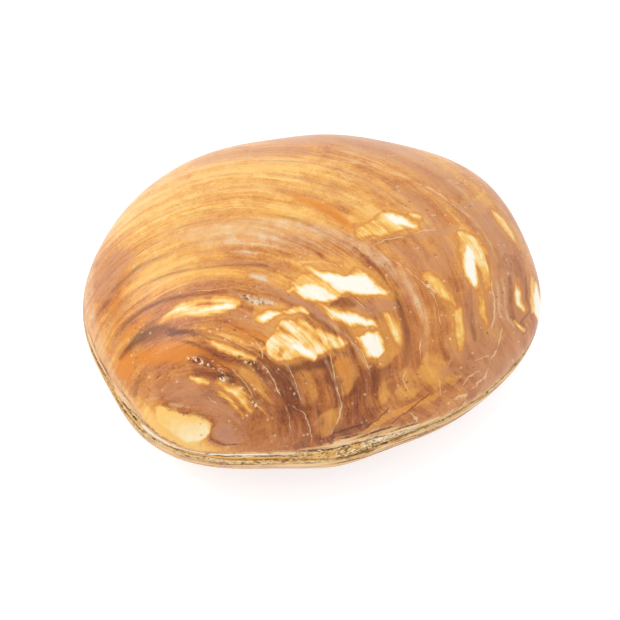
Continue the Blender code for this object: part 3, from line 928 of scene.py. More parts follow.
        (1.1, ((54.5, 0.418, 0.004), (57.0, 0.425, 0.010), (61.0, 0.424, 0.007)), 0.8),
        (0.9, ((11.0, 0.932, 0.006), (12.6, 0.900, 0.008), (14.5, 0.883, 0.008),
               (18.5, 0.874, 0.006)), 0.6),
        (0.8, ((12.8, 0.880, 0.004), (14.5, 0.862, 0.008), (18.5, 0.856, 0.006)), 0.6),
        (1.1, ((13.6, 0.852, 0.003), (16.0, 0.843, 0.004), (19.0, 0.838, 0.004)), 0.6),
        (1.1, ((31.0, 0.853, 0.004), (35.0, 0.838, 0.005), (39.0, 0.821, 0.004)), 0.8),
        (0.6, ((40.0, 0.820, 0.003), (47.0, 0.802, 0.005), (56.0, 0.785, 0.003)), 1.0),
        (0.7, ((46.0, 0.838, 0.003), (51.0, 0.815, 0.005), (55.0, 0.800, 0.003)), 1.0),
        (0.5, ((24.0, 0.872, 0.004), (29.0, 0.862, 0.006), (36.0, 0.836, 0.004)), 0.8),
        (0.7, ((32.5, 0.895, 0.006), (35.5, 0.890, 0.010)), 1.0, 0.014),
        (0.7, ((58.0, 0.737, 0.004), (64.0, 0.728, 0.007), (74.0, 0.726, 0.004)), 1.5),
        (0.8, ((18.5, 0.376, 0.003), (24.0, 0.372, 0.004), (31.0, 0.372, 0.003)), 0.6),
        (0.8, ((27.0, 0.287, 0.002), (33.0, 0.285, 0.004), (39.0, 0.282, 0.002)), 0.6),
        (1.1, ((86.0, 0.140, 0.003), (94.0, 0.148, 0.005), (103.0, 0.163, 0.004)), 1.0),
        (0.9, ((102.0, 0.176, 0.003), (110.0, 0.194, 0.004), (117.0, 0.212, 0.006),
               (124.0, 0.234, 0.004)), 1.0),
        (0.6, ((67.0, 0.158, 0.002), (73.0, 0.163, 0.003)), 0.8),
        (1.2, ((59.5, 0.208, 0.005), (62.0, 0.204, 0.008), (65.5, 0.196, 0.006),
               (66.0, 0.188, 0.003)), 0.6),
        (0.9, ((23.8, 0.669, 0.005), (26.0, 0.668, 0.006)), 0.4),
        (1.0, ((20.0, 0.462, 0.002), (25.0, 0.452, 0.003), (32.0, 0.434, 0.003),
               (38.0, 0.420, 0.002)), 0.6),
        (0.9, ((36.5, 0.256, 0.003), (38.0, 0.245, 0.004)), 0.5),
        (0.8, ((86.0, 0.118, 0.002), (95.0, 0.128, 0.003), (104.0, 0.140, 0.002)), 0.8),
    ),
    "blush": (  # smooth pinkish tan, partly a painted sheen of soft reflections
        (1.2, ((28.0, 0.118, 0.020), (36.0, 0.110, 0.036), (46.0, 0.104, 0.040),
               (56.0, 0.108, 0.030)), 2.0),
        (1.0, ((40.0, 0.142, 0.018), (60.0, 0.148, 0.030), (80.0, 0.165, 0.036),
               (100.0, 0.185, 0.030), (112.0, 0.215, 0.018)), 4.0, 0.040),
        (1.0, ((26.0, 0.448, 0.003), (32.0, 0.436, 0.007), (40.0, 0.416, 0.010),
               (50.0, 0.410, 0.010), (58.0, 0.405, 0.006)), 1.0, 0.008),
        (0.6, ((26.5, 0.570, 0.016), (29.0, 0.535, 0.024), (32.0, 0.505, 0.016),
               (35.0, 0.490, 0.006)), 1.0, 0.014),
        (0.8, ((18.0, 0.900, 0.036), (25.0, 0.898, 0.044), (31.0, 0.890, 0.044)), 1.5),
        (0.6, ((4.0, 1.020, 0.120), (8.0, 0.900, 0.120), (12.0, 0.840, 0.140),
               (18.0, 0.840, 0.120), (24.0, 0.860, 0.060)), 2.0, 0.080),
        (0.7, ((7.0, 0.870, 0.030), (9.0, 0.800, 0.030), (11.0, 0.700, 0.026)), 1.0, 0.050),
        (0.6, ((28.0, 0.760, 0.030), (34.0, 0.780, 0.030), (40.0, 0.770, 0.020)), 2.0, 0.050),
        (0.5, ((26.0, 0.720, 0.020), (31.0, 0.680, 0.030), (34.0, 0.655, 0.016)), 1.5, 0.040),
        (0.7, ((36.0, 0.880, 0.040), (48.0, 0.870, 0.045), (60.0, 0.845, 0.034)), 4.0),
        (0.6, ((60.0, 0.790, 0.025), (74.0, 0.775, 0.020)), 4.0),
        (0.6, ((30.0, 0.790, 0.030), (33.0, 0.720, 0.030)), 1.5),
        (0.5, ((50.0, 0.330, 0.010), (58.0, 0.325, 0.016), (66.0, 0.325, 0.010)), 2.0),
        (0.5, ((96.0, 0.570, 0.040), (103.0, 0.540, 0.050)), 4.0),
    ),
    "glow": (  # deep translucent orange
        (1.7, ((73.0, 0.246, 0.006), (80.0, 0.256, 0.018), (90.0, 0.266, 0.032),
               (100.0, 0.286, 0.030), (108.0, 0.310, 0.016)), 2.0),
        (1.8, ((93.0, 0.378, 0.008), (101.0, 0.377, 0.015), (109.0, 0.382, 0.011)), 1.5),
        (0.7, ((97.0, 0.520, 0.020), (103.0, 0.480, 0.030), (107.0, 0.430, 0.020)), 2.0, 0.050),
        (1.2, ((57.0, 0.230, 0.010), (66.0, 0.235, 0.013), (76.0, 0.241, 0.008)), 1.0),
        (0.8, ((112.0, 0.300, 0.020), (118.0, 0.330, 0.030), (114.0, 0.400, 0.030)), 2.0, 0.030),
        (0.7, ((49.0, 0.300, 0.020), (58.0, 0.305, 0.018), (66.0, 0.310, 0.010)), 2.0),
        (0.8, ((44.0, 0.620, 0.010), (48.0, 0.630, 0.018), (56.0, 0.640, 0.010)), 2.0),
        (0.8, ((110.0, 0.340, 0.030), (117.0, 0.320, 0.040)), 3.0),
        (0.4, ((31.0, 0.815, 0.020), (34.0, 0.790, 0.020)), 1.5, 0.050),
        (0.9, ((8.4, 0.689, 0.016), (9.7, 0.607, 0.024),
               (10.9, 0.533, 0.022), (12.3, 0.470, 0.014)), 0.6, 0.030),
        (0.4, ((24.0, 0.402, 0.010), (27.0, 0.402, 0.020), (30.0, 0.393, 0.008)), 0.6, 0.020),
    ),
    "dark": (  # dull purple-brown bands, cracks and dark growth lines
        (0.5, ((11.5, 0.930, 0.010), (13.0, 0.912, 0.012), (15.0, 0.903, 0.013),
               (18.0, 0.898, 0.010)), 0.6, 0.014),
        (0.45, ((9.5, 0.985, 0.012), (11.0, 0.955, 0.012), (12.4, 0.985, 0.010),
                (14.0, 0.960, 0.008), (17.0, 0.955, 0.008)), 0.6, 0.014),
        (0.5, ((12.6, 0.790, 0.008), (15.0, 0.774, 0.010), (18.0, 0.772, 0.008),
               (20.0, 0.770, 0.004)), 0.6, 0.014),
        (0.8, ((25.0, 0.140, 0.006), (28.0, 0.115, 0.008), (33.0, 0.088, 0.009),
               (42.0, 0.076, 0.009), (52.0, 0.074, 0.009), (57.0, 0.082, 0.008),
               (59.5, 0.095, 0.005)), 1.0, 0.010),
        (0.5, ((63.0, 0.206, 0.006), (70.0, 0.209, 0.009), (80.0, 0.216, 0.007)), 1.0),
        (0.5, ((56.0, 0.236, 0.008), (66.0, 0.238, 0.010), (76.0, 0.244, 0.006)), 1.0, 0.020),
        (0.6, ((50.0, 0.244, 0.003), (58.0, 0.246, 0.005), (66.0, 0.250, 0.004),
               (74.0, 0.262, 0.003)), 1.0),
        (0.5, ((102.0, 0.335, 0.014), (108.0, 0.350, 0.016), (113.0, 0.355, 0.010)), 1.5, 0.024),
        (0.5, ((108.0, 0.262, 0.010), (115.0, 0.262, 0.020), (122.0, 0.252, 0.014)), 1.5, 0.030),
        (0.5, ((95.0, 0.400, 0.006), (106.0, 0.410, 0.010), (113.0, 0.412, 0.006)), 1.5, 0.014),
        (0.5, ((104.0, 0.455, 0.004), (109.0, 0.452, 0.008)), 1.5, 0.020),
        (0.4, ((40.0, 0.215, 0.003), (44.0, 0.206, 0.006), (52.0, 0.204, 0.004)), 1.0),
        (1.0, ((58.0, 0.256, 0.003), (66.0, 0.262, 0.003), (75.0, 0.284, 0.008),
               (84.0, 0.302, 0.012), (90.0, 0.318, 0.018)), 1.5),
        (0.7, ((84.0, 0.308, 0.008), (91.0, 0.328, 0.024), (97.0, 0.338, 0.032),
               (103.0, 0.346, 0.024), (111.0, 0.356, 0.010)), 2.0, 0.026),
        (0.9, ((90.0, 0.318, 0.003), (97.0, 0.328, 0.004), (104.0, 0.340, 0.003)), 1.0),
        (0.9, ((92.0, 0.344, 0.003), (98.0, 0.352, 0.004), (108.0, 0.360, 0.003)), 1.0),
        (0.9, ((58.0, 0.386, 0.004), (75.0, 0.378, 0.007), (86.0, 0.390, 0.010),
               (96.0, 0.400, 0.009), (112.0, 0.406, 0.004)), 2.0),
        (0.9, ((58.0, 0.452, 0.006), (66.0, 0.444, 0.005), (76.0, 0.440, 0.004),
               (86.0, 0.455, 0.005), (96.0, 0.461, 0.005), (108.0, 0.457, 0.003)), 1.5),
        (0.35, ((84.0, 0.505, 0.006), (92.0, 0.512, 0.010), (101.0, 0.505, 0.010)), 3.0, 0.02),
        (0.5, ((83.0, 0.546, 0.002), (88.0, 0.552, 0.003), (92.0, 0.549, 0.002)), 1.0),
        (0.6, ((85.0, 0.572, 0.002), (91.0, 0.576, 0.003), (94.0, 0.574, 0.002)), 1.0),
        (0.5, ((95.0, 0.594, 0.003), (99.0, 0.587, 0.004)), 1.0),
        (0.6, ((97.0, 0.562, 0.003), (102.0, 0.552, 0.004)), 1.0),
        (0.5, ((92.0, 0.536, 0.002), (98.0, 0.530, 0.003)), 1.0),
        (0.6, ((98.0, 0.517, 0.003), (104.0, 0.508, 0.004)), 1.0),
        (0.4, ((101.0, 0.486, 0.003), (107.0, 0.478, 0.004)), 1.0),
        (0.6, ((60.0, 0.560, 0.003), (72.0, 0.562, 0.003), (82.0, 0.566, 0.003)), 1.5),
        (0.6, ((57.0, 0.744, 0.003), (66.0, 0.739, 0.004), (73.0, 0.736, 0.003)), 1.0),
        (1.1, ((34.0, 0.243, 0.003), (42.0, 0.252, 0.005), (52.0, 0.256, 0.005),
               (60.0, 0.256, 0.003)), 1.0),
        (1.5, ((51.5, 0.252, 0.005), (55.5, 0.252, 0.005)), 0.5),
        (0.9, ((40.0, 0.206, 0.003), (50.0, 0.209, 0.005), (58.0, 0.214, 0.004)), 1.0),
        (1.2, ((40.0, 0.230, 0.003), (48.0, 0.238, 0.004), (58.0, 0.242, 0.004),
               (66.0, 0.248, 0.003)), 1.0, 0.007),
        (1.1, ((36.0, 0.276, 0.004), (46.0, 0.276, 0.006), (56.0, 0.283, 0.006),
               (66.0, 0.294, 0.005), (76.0, 0.306, 0.003)), 1.5, 0.008),
        (1.2, ((60.0, 0.236, 0.004), (68.0, 0.246, 0.005), (78.0, 0.266, 0.006),
               (86.0, 0.286, 0.006), (92.0, 0.300, 0.003)), 1.5, 0.009),
        (1.0, ((34.0, 0.300, 0.003), (44.0, 0.294, 0.005), (56.0, 0.302, 0.005),
               (70.0, 0.320, 0.004)), 1.5, 0.008),
        (0.9, ((30.0, 0.240, 0.006), (36.0, 0.222, 0.008), (44.0, 0.214, 0.006),
               (54.0, 0.216, 0.004)), 1.5, 0.012),
        (0.7, ((28.0, 0.262, 0.016), (36.0, 0.256, 0.018), (44.0, 0.262, 0.010)), 1.5, 0.024),
        (1.3, ((38.0, 0.259, 0.003), (50.0, 0.268, 0.004), (60.0, 0.277, 0.004),
               (70.0, 0.286, 0.004), (80.0, 0.300, 0.005)), 1.0, 0.006),
        (0.7, ((50.0, 0.300, 0.003), (64.0, 0.304, 0.004), (80.0, 0.318, 0.003)), 1.0),
        (0.5, ((30.0, 0.278, 0.014), (42.0, 0.272, 0.014), (50.0, 0.276, 0.008)), 2.0, 0.020),
        (0.6, ((56.0, 0.202, 0.008), (68.0, 0.207, 0.009), (80.0, 0.214, 0.006)), 1.5),
        (0.8, ((84.0, 0.214, 0.002), (90.0, 0.222, 0.003)), 0.8),
        (1.1, ((86.0, 0.122, 0.003), (95.0, 0.131, 0.005), (103.0, 0.142, 0.005),
               (107.0, 0.154, 0.003)), 0.8),
        (1.0, ((68.0, 0.120, 0.003), (76.0, 0.121, 0.004), (84.0, 0.122, 0.003)), 0.8),
        (0.5, ((96.0, 0.160, 0.003), (106.0, 0.168, 0.008)), 1.0),
        (0.7, ((118.0, 0.246, 0.004), (122.0, 0.250, 0.008)), 1.0),
        (0.8, ((110.0, 0.252, 0.004), (113.0, 0.262, 0.008)), 1.0),
        (1.1, ((20.0, 0.466, 0.003), (24.0, 0.459, 0.004), (28.0, 0.450, 0.004),
               (34.0, 0.440, 0.003)), 0.5),
        (0.9, ((28.0, 0.438, 0.004), (34.0, 0.420, 0.004), (40.0, 0.406, 0.004),
               (50.0, 0.400, 0.003)), 0.6),
        (0.8, ((26.8, 0.505, 0.003), (28.0, 0.480, 0.004), (29.2, 0.458, 0.003)), 0.3),
        (0.6, ((33.5, 0.492, 0.008), (36.5, 0.474, 0.016), (38.5, 0.455, 0.010)), 0.5),
        (0.2, ((33.5, 0.700, 0.010), (35.5, 0.665, 0.014), (38.0, 0.625, 0.012)), 0.8, 0.030),
        (0.3, ((18.5, 0.930, 0.020), (20.5, 0.900, 0.040)), 1.2, 0.030),
        (0.4, ((19.5, 0.490, 0.030), (21.0, 0.430, 0.050)), 1.8, 0.040),
        (0.6, ((29.5, 0.385, 0.020), (32.5, 0.345, 0.018), (37.0, 0.305, 0.014),
               (41.0, 0.286, 0.010)), 0.8, 0.018),
        (0.5, ((17.5, 0.572, 0.020), (24.0, 0.576, 0.014), (30.0, 0.590, 0.006)), 1.0, 0.020),
        (0.7, ((46.0, 0.584, 0.003), (54.0, 0.580, 0.005), (62.0, 0.580, 0.003)), 1.0),
        (0.5, ((13.0, 0.410, 0.010), (15.5, 0.385, 0.014), (17.0, 0.365, 0.006)), 0.6, 0.014),
    ),
    "grit": (  # rough grooves full of pale and dark grains
        (1.0, ((58.0, 0.210, 0.005), (62.0, 0.206, 0.012), (66.0, 0.202, 0.008)), 1.0),
        (0.9, ((64.0, 0.216, 0.003), (72.0, 0.223, 0.006), (78.0, 0.234, 0.009),
               (83.0, 0.244, 0.004)), 1.0),
        (0.3, ((48.0, 0.252, 0.004), (54.0, 0.252, 0.006), (60.0, 0.254, 0.003)), 1.0),
        (0.4, ((52.0, 0.378, 0.004), (57.0, 0.372, 0.010), (62.0, 0.375, 0.006)), 0.8),
        (0.25, ((40.0, 0.196, 0.003), (50.0, 0.200, 0.006), (60.0, 0.204, 0.004)), 1.0),
        (0.3, ((23.8, 0.669, 0.006), (26.0, 0.668, 0.006)), 0.5),
    ),
}
# broad tones from 0, dark brown, to 1, light amber: sweep, growth, their spreads, tone
upperTones = (
    (60, 0.70, 8, 0.03, 0.78), (70, 0.76, 8, 0.03, 0.80), (50, 0.80, 6, 0.02, 0.66),
    (72, 0.68, 10, 0.05, 0.84), (84, 0.66, 8, 0.06, 0.95), (86, 0.58, 7, 0.04, 0.88),
    (60, 0.78, 9, 0.05, 0.62), (52, 0.70, 6, 0.05, 0.70), (60, 0.69, 6, 0.04, 0.76),
    (40, 0.88, 7, 0.05, 0.52), (30, 0.93, 6, 0.05, 0.44), (22, 0.97, 5, 0.03, 0.42),
    (52, 0.90, 8, 0.04, 0.52), (64, 0.84, 8, 0.05, 0.58), (78, 0.76, 8, 0.06, 0.74),
    (46, 0.76, 5, 0.05, 0.66), (40, 0.78, 4, 0.05, 0.62), (22, 0.75, 5, 0.05, 0.40),
    (15, 0.77, 4, 0.06, 0.38), (30, 0.75, 4, 0.05, 0.54), (28, 0.83, 4, 0.04, 0.52),
    (20, 0.87, 3, 0.05, 0.34), (9, 0.80, 3, 0.10, 0.38), (11, 0.66, 3, 0.08, 0.34),
    (8, 1.02, 4, 0.06, 0.32), (18, 0.66, 4, 0.05, 0.34), (28, 0.66, 5, 0.03, 0.42),
    (68, 0.60, 8, 0.04, 0.70), (66, 0.50, 8, 0.03, 0.70), (78, 0.52, 6, 0.03, 0.74),
    (92, 0.55, 5, 0.04, 0.66), (86, 0.48, 9, 0.02, 0.74), (84, 0.425, 10, 0.015, 0.64),
    (100, 0.43, 6, 0.02, 0.46), (104, 0.50, 4, 0.05, 0.26), (99, 0.57, 4, 0.05, 0.34),
    (112, 0.46, 5, 0.08, 0.62), (108, 0.60, 4, 0.05, 0.60), (72, 0.44, 8, 0.02, 0.56),
    (30, 0.35, 6, 0.05, 0.12), (20, 0.30, 5, 0.06, 0.10), (21, 0.45, 4, 0.05, 0.16),
    (24, 0.60, 5, 0.03, 0.34), (34, 0.64, 5, 0.02, 0.44), (33, 0.70, 3, 0.04, 0.54),
    (42, 0.56, 6, 0.03, 0.42),
    (48, 0.62, 6, 0.03, 0.56), (58, 0.61, 5, 0.02, 0.70), (35, 0.48, 5, 0.04, 0.18),
    (50, 0.46, 5, 0.04, 0.42), (57, 0.50, 5, 0.03, 0.46), (60, 0.42, 6, 0.03, 0.44),
    (56, 0.38, 6, 0.02, 0.44), (52, 0.31, 6, 0.02, 0.40), (72, 0.39, 8, 0.02, 0.40),
    (45, 0.27, 8, 0.02, 0.08), (65, 0.31, 8, 0.02, 0.30), (78, 0.32, 8, 0.02, 0.30),
    (84, 0.35, 6, 0.02, 0.34), (96, 0.27, 10, 0.03, 0.44), (104, 0.24, 8, 0.03, 0.26),
    (114, 0.28, 6, 0.05, 0.50), (118, 0.38, 5, 0.06, 0.60), (60, 0.22, 14, 0.02, 0.10),
    (60, 0.17, 20, 0.03, 0.17), (92, 0.20, 14, 0.03, 0.30), (45, 0.11, 12, 0.03, 0.24),
    (28, 0.20, 7, 0.05, 0.20), (38, 0.18, 6, 0.03, 0.30), (21, 0.14, 5, 0.06, 0.46),
    (24, 0.06, 8, 0.03, 0.72), (60, 0.03, 40, 0.02, 0.88), (112, 0.03, 30, 0.03, 0.94),
    (127, 0.12, 4, 0.10, 0.98), (117, 0.20, 6, 0.03, 0.62), (150, 0.20, 15, 0.15, 0.70),
)
# scratches and cracks: half width and points in plan, in mm
upperLines = {
    "scratch": (
        (0.11, ((-3.1, -21.5), (-3.1, -24.6), (-3.0, -27.2), (-2.7, -29.2), (-3.9, -31.0),
                (-4.7, -31.5))),
        (0.11, ((1.1, -20.1), (2.4, -21.7), (2.8, -23.4), (3.1, -24.5))),
        (0.10, ((-10.6, -27.8), (-9.3, -28.7), (-8.6, -30.2), (-8.4, -31.3))),
        (0.10, ((-10.6, -21.7), (-10.0, -23.7), (-9.5, -26.7))),
        (0.13, ((-14.8, -17.2), (-14.2, -18.6), (-14.4, -19.4))),
        (0.20, ((-13.3, -23.4), (-13.1, -24.5), (-12.8, -25.4))),
        (0.09, ((-14.5, -21.0), (-13.8, -22.1), (-13.4, -23.3))),
        (0.08, ((-12.0, -27.5), (-11.6, -28.6), (-11.8, -29.8))),
        (0.09, ((-24.8, -22.7), (-23.6, -24.0))),
        (0.08, ((2.5, -11.7), (4.0, -13.4), (5.5, -15.7))),
        (0.11, ((28.6, -19.2), (27.1, -22.0), (25.7, -23.3), (24.3, -25.4), (22.0, -26.8),
                (20.3, -27.8), (17.9, -28.6))),
        (0.09, ((25.1, -23.1), (22.8, -23.9))),
        (0.09, ((22.8, -25.3), (20.7, -26.1), (19.8, -27.0))),
        (0.16, ((9.9, -30.5), (10.9, -30.8))),
        (0.12, ((13.0, -21.4), (12.6, -22.5), (12.5, -23.5))),
        (0.08, ((15.2, -26.8), (15.2, -28.8))),
        (0.11, ((24.9, 4.0), (26.1, 1.8), (27.2, -0.6))),
        (0.10, ((9.5, -2.8), (11.8, -1.8), (15.0, -1.6))),
        (0.11, ((18.0, -0.9), (19.8, -0.4), (21.8, -0.5))),
        (0.10, ((8.1, 15.5), (8.8, 12.9))),
        (0.08, ((9.3, 16.2), (9.9, 14.7))),
        (0.09, ((8.7, 8.1), (9.0, 5.9))),
        (0.16, ((28.7, -11.3), (28.2, -15.6), (26.8, -18.8))),
        (0.22, ((17.0, -11.8), (17.6, -12.7))),
        (0.10, ((9.3, -25.6), (8.6, -26.5), (9.2, -27.7))),
        (0.08, ((-7.4, -18.1), (-5.9, -20.1))),
        (0.09, ((18.1, -23.7), (17.1, -24.9))),
        (0.14, ((21.2, 10.6), (23.6, 8.8), (25.9, 5.9), (28.3, 3.0))),
        (0.09, ((12.6, -6.8), (14.3, -8.8), (16.0, -11.0), (17.1, -13.2),
                (17.6, -14.8), (17.3, -18.3))),
        (0.09, ((7.5, 18.4), (10.9, 17.5), (14.2, 16.2), (16.8, 13.9), (20.0, 12.0))),
        (0.08, ((8.8, 3.8), (11.0, 4.0), (13.4, 4.8))),
        (0.08, ((-21.1, -13.6), (-18.7, -15.8), (-16.1, -17.9))),
        (0.09, ((16.6, 5.5), (18.2, 3.7))),
        (0.08, ((-19.6, -20.4), (-18.1, -22.8), (-17.3, -24.7))),
        (0.09, ((-4.0, -4.0), (-0.6, -4.6), (1.8, -5.8))),
    ),
    "crack": (
        (0.11, ((-4.3, -31.8), (-1.8, -31.7), (0.7, -31.3))),
        (0.09, ((1.3, -31.6), (3.6, -30.9), (5.3, -29.9))),
        (0.09, ((6.1, -31.1), (8.3, -30.4), (10.1, -29.7), (12.8, -28.6))),
        (0.09, ((-10.6, -19.5), (-9.0, -21.9), (-8.3, -23.8))),
        (0.09, ((-14.4, -19.2), (-12.4, -21.3), (-10.7, -22.8))),
        (0.10, ((2.9, -10.9), (3.8, -12.9), (4.9, -14.6))),
        (0.09, ((-2.2, -28.8), (-1.6, -29.7), (-2.2, -30.5))),
        (0.09, ((20.8, -14.4), (22.2, -15.6))),
        (0.09, ((-3.9, -25.1), (-3.5, -26.8))),
        (0.10, ((-24.3, -13.1), (-21.6, -15.6), (-19.1, -17.2))),
        (0.24, ((-18.9, -17.3), (-17.5, -18.6), (-16.3, -20.2))),
        (0.10, ((-16.2, -20.4), (-15.0, -22.0), (-13.7, -23.9))),
        (0.10, ((-23.2, -11.5), (-20.0, -13.8), (-16.4, -16.7))),
        (0.10, ((-24.6, -16.5), (-22.3, -17.9), (-20.4, -20.0))),
        (0.09, ((-21.6, -20.8), (-19.4, -22.9), (-17.8, -25.2))),
    ),
}
upperLook = {
    "node": "upper_valve", "side": 1, "crest": (-5.0, -3.5), "restDepth": 0.0,
    "fullness": (2.0, -0.2), "sectors": 640, "rings": 138, "underside": (1.004, 1.05, 1.3),
    "seed": 0.0, "stone": "upperStone", "stoneSeed": 0.0,
    "marks": upperMarks, "tones": upperTones, "lines": upperLines,
    # bare layers at the lip, then bed left on the edge: angle round the margin, width in mm
    "lip": ((0, 0.2), (30, 0.2), (150, 0.8), (170, 1.4), (195, 1.4), (208, 1.2), (220, 0.4),
            (232, 0.4), (250, 0.6), (258, 1.2), (266, 2.2), (280, 2.2), (292, 1.6), (305, 0.9),
            (320, 0.4), (360, 0.2)),
    "crust": ((0, -0.3), (180, -0.3), (190, 0.1), (212, 0.1), (218, -0.3), (255, -0.3), (262, 0.1),
              (272, 0.4), (290, 0.4), (305, 0.2), (318, -0.2), (360, -0.3)),
}

# the lower valve's markings, in the same way
lowerMarks = {
    "pale": (
        (1.1, ((28.0, 0.700, 0.006), (34.0, 0.690, 0.026), (40.0, 0.670, 0.008)), 1.0),
        (0.9, ((52.0, 0.565, 0.004), (60.0, 0.552, 0.022), (68.0, 0.545, 0.006)), 1.0),
        (1.2, ((36.0, 0.490, 0.006), (42.0, 0.465, 0.028), (48.0, 0.450, 0.008)), 1.0),
        (1.1, ((24.0, 0.820, 0.008), (27.0, 0.815, 0.022), (30.0, 0.806, 0.008)), 0.8),
        (0.9, ((62.0, 0.380, 0.006), (74.0, 0.382, 0.018), (82.0, 0.380, 0.006)), 1.5),
    ),
    "amber": (  # soft golden stains
        (0.45, ((80.0, 0.640, 0.008), (92.0, 0.632, 0.022), (100.0, 0.630, 0.008)), 2.0),
        (0.45, ((44.0, 0.780, 0.008), (54.0, 0.760, 0.020), (62.0, 0.750, 0.006)), 2.0),
        (0.4, ((18.0, 0.560, 0.014), (24.0, 0.555, 0.026)), 1.0),
        (0.35, ((30.0, 0.350, 0.012), (38.0, 0.345, 0.022)), 1.5),
        (0.35, ((13.0, 0.680, 0.014), (16.0, 0.670, 0.020)), 0.8),
    ),
    "patch": ((1.2, ((78.0, 0.070, 0.010), (95.0, 0.080, 0.030), (112.0, 0.090, 0.016)), 2.0),),
    # chalky wear and pale growth lines, with painted sheen: soft reflections painted as pale veils
    "haze": (
        (0.6, ((30.0, 0.615, 0.012), (50.0, 0.600, 0.022), (72.0, 0.590, 0.014)), 4.0),
        (0.7, ((70.0, 0.480, 0.006), (90.0, 0.470, 0.008)), 3.0),
        (0.8, ((20.0, 0.880, 0.005), (40.0, 0.850, 0.006), (60.0, 0.820, 0.004)), 3.0),
        (1.0, ((56.0, 0.420, 0.004), (63.0, 0.426, 0.010), (68.0, 0.424, 0.004)), 1.0),
    ),
    # smooth pinkish tan, partly a painted sheen of soft reflections
    "blush": (
        (0.8, ((40.0, 0.150, 0.024), (70.0, 0.165, 0.034), (100.0, 0.180, 0.024)), 5.0),
        (0.6, ((30.0, 0.920, 0.030), (60.0, 0.880, 0.040)), 5.0),
        (0.6, ((20.0, 0.620, 0.030), (30.0, 0.560, 0.020)), 2.0),
    ),
    "glow": (
        (0.8, ((70.0, 0.260, 0.010), (85.0, 0.270, 0.022), (100.0, 0.280, 0.012)), 3.0),
        (0.5, ((44.0, 0.640, 0.020), (56.0, 0.650, 0.016)), 3.0),
    ),
    "dark": (
        (0.9, ((25.0, 0.430, 0.004), (38.0, 0.412, 0.005), (50.0, 0.400, 0.004)), 1.5),
        (0.9, ((64.0, 0.300, 0.006), (84.0, 0.318, 0.016), (100.0, 0.335, 0.014)), 2.0),
        (0.6, ((40.0, 0.890, 0.004), (70.0, 0.870, 0.005)), 4.0),
        (0.6, ((84.0, 0.560, 0.006), (95.0, 0.565, 0.012), (106.0, 0.560, 0.006)), 3.0),
        (0.8, ((72.0, 0.446, 0.003), (90.0, 0.458, 0.004), (104.0, 0.455, 0.003)), 2.0),
        (0.7, ((40.0, 0.262, 0.003), (62.0, 0.272, 0.004)), 2.0),
    ),
    "grit": ((0.8, ((50.0, 0.225, 0.006), (66.0, 0.230, 0.010), (80.0, 0.240, 0.006)), 2.0),),
}
lowerTones = (
    (70, 0.68, 12, 0.08, 0.80), (88, 0.60, 10, 0.08, 0.76), (50, 0.72, 8, 0.07, 0.58),
    (30, 0.80, 7, 0.08, 0.38), (15, 0.75, 5, 0.10, 0.28), (45, 0.92, 12, 0.05, 0.50),
    (75, 0.84, 12, 0.07, 0.66), (60, 0.48, 10, 0.05, 0.48), (35, 0.54, 8, 0.05, 0.30),
    (25, 0.38, 8, 0.08, 0.20), (95, 0.46, 10, 0.05, 0.62), (108, 0.50, 6, 0.08, 0.40),
    (70, 0.34, 12, 0.04, 0.32), (50, 0.26, 10, 0.03, 0.20), (104, 0.27, 10, 0.05, 0.48),
    (60, 0.16, 30, 0.05, 0.40), (70, 0.04, 50, 0.03, 0.80), (128, 0.15, 8, 0.12, 0.78),
    (115, 0.62, 8, 0.12, 0.62), (10, 1.00, 6, 0.08, 0.36),
)
lowerLines = {
    "scratch": (
        (0.11, ((-12.0, 14.0), (-8.0, 9.5), (-6.5, 6.0))),
        (0.09, ((6.0, -9.0), (10.5, -12.0), (12.5, -16.0))),
        (0.10, ((18.0, 8.0), (21.0, 3.0), (21.5, -1.0))),
        (0.09, ((-3.0, -14.0), (1.0, -17.5), (3.5, -22.0))),
    ),
    "crack": (
        (0.10, ((-20.0, -6.0), (-14.0, -10.0), (-9.0, -16.5))),
        (0.09, ((4.0, 14.0), (10.0, 11.0), (15.0, 5.5))),
    ),
}
lowerLook = {
    "node": "lower_valve", "side": -1, "crest": (-2.0, -1.4), "restDepth": 0.3,
    "fullness": (2.15, -0.1), "sectors": 560, "rings": 120, "underside": (1.004, 1.05, 1.3),
    "seed": 7.0, "stone": "lowerStone", "stoneSeed": 31.0,
    "marks": lowerMarks, "tones": lowerTones, "lines": lowerLines,
    # bare layers at the lip, then bed left on the edge: angle round the margin, width in mm
    "lip": ((0, 0.3), (150, 0.4), (190, 2.0), (215, 3.6), (235, 4.2), (255, 4.6), (268, 5.0),
            (285, 4.8), (300, 3.6), (320, 1.2), (360, 0.3)),
    "crust": ((0, 0.0), (150, 0.1), (182, 0.4), (192, 0.8), (212, 0.7), (222, 0.9), (240, 1.2),
              (256, 0.8), (262, 1.0), (272, 1.0), (285, 0.4), (305, 0.3), (330, 0.0), (360, 0.0)),
}


def buildValve(name, look):
    low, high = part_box(look["node"])
    deepest = (high.z - seamHeight) if look["side"] > 0 else (seamHeight - low.z)
    piece = grownMesh(name, valveBlank(name, look), valveTree, {
        "Side": float(look["side"]), "Deepest": deepest,
        "Depth": deepest + look["restDepth"] * mm,
        "Crest": (look["crest"][0] * mm, look["crest"][1] * mm, 0.0),
        "Plan Power": clamForm["planPower"], "Seam Height": seamHeight,
        "Beak": (clamForm["beak"][0] * mm, clamForm["beak"][1] * mm, 0.0),
        "Ridge Height": reliefLook["ridgeHeight"], "Ridge Count": reliefLook["ridgeCount"],
        "Ridge Length": reliefLook["ridgeLength"], "Halt Height": reliefLook["haltHeight"],
        "Halt Width": reliefLook["haltWidth"], "Seed": look["seed"],
        "Stone": shellMaterial(look["stone"], stoneTree, look["stoneSeed"])})
    paintValve(piece, look)
    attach(piece, "root")
    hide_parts(look["node"])
    print(name, "ready with", len(piece.data.polygons), "faces")
    return piece


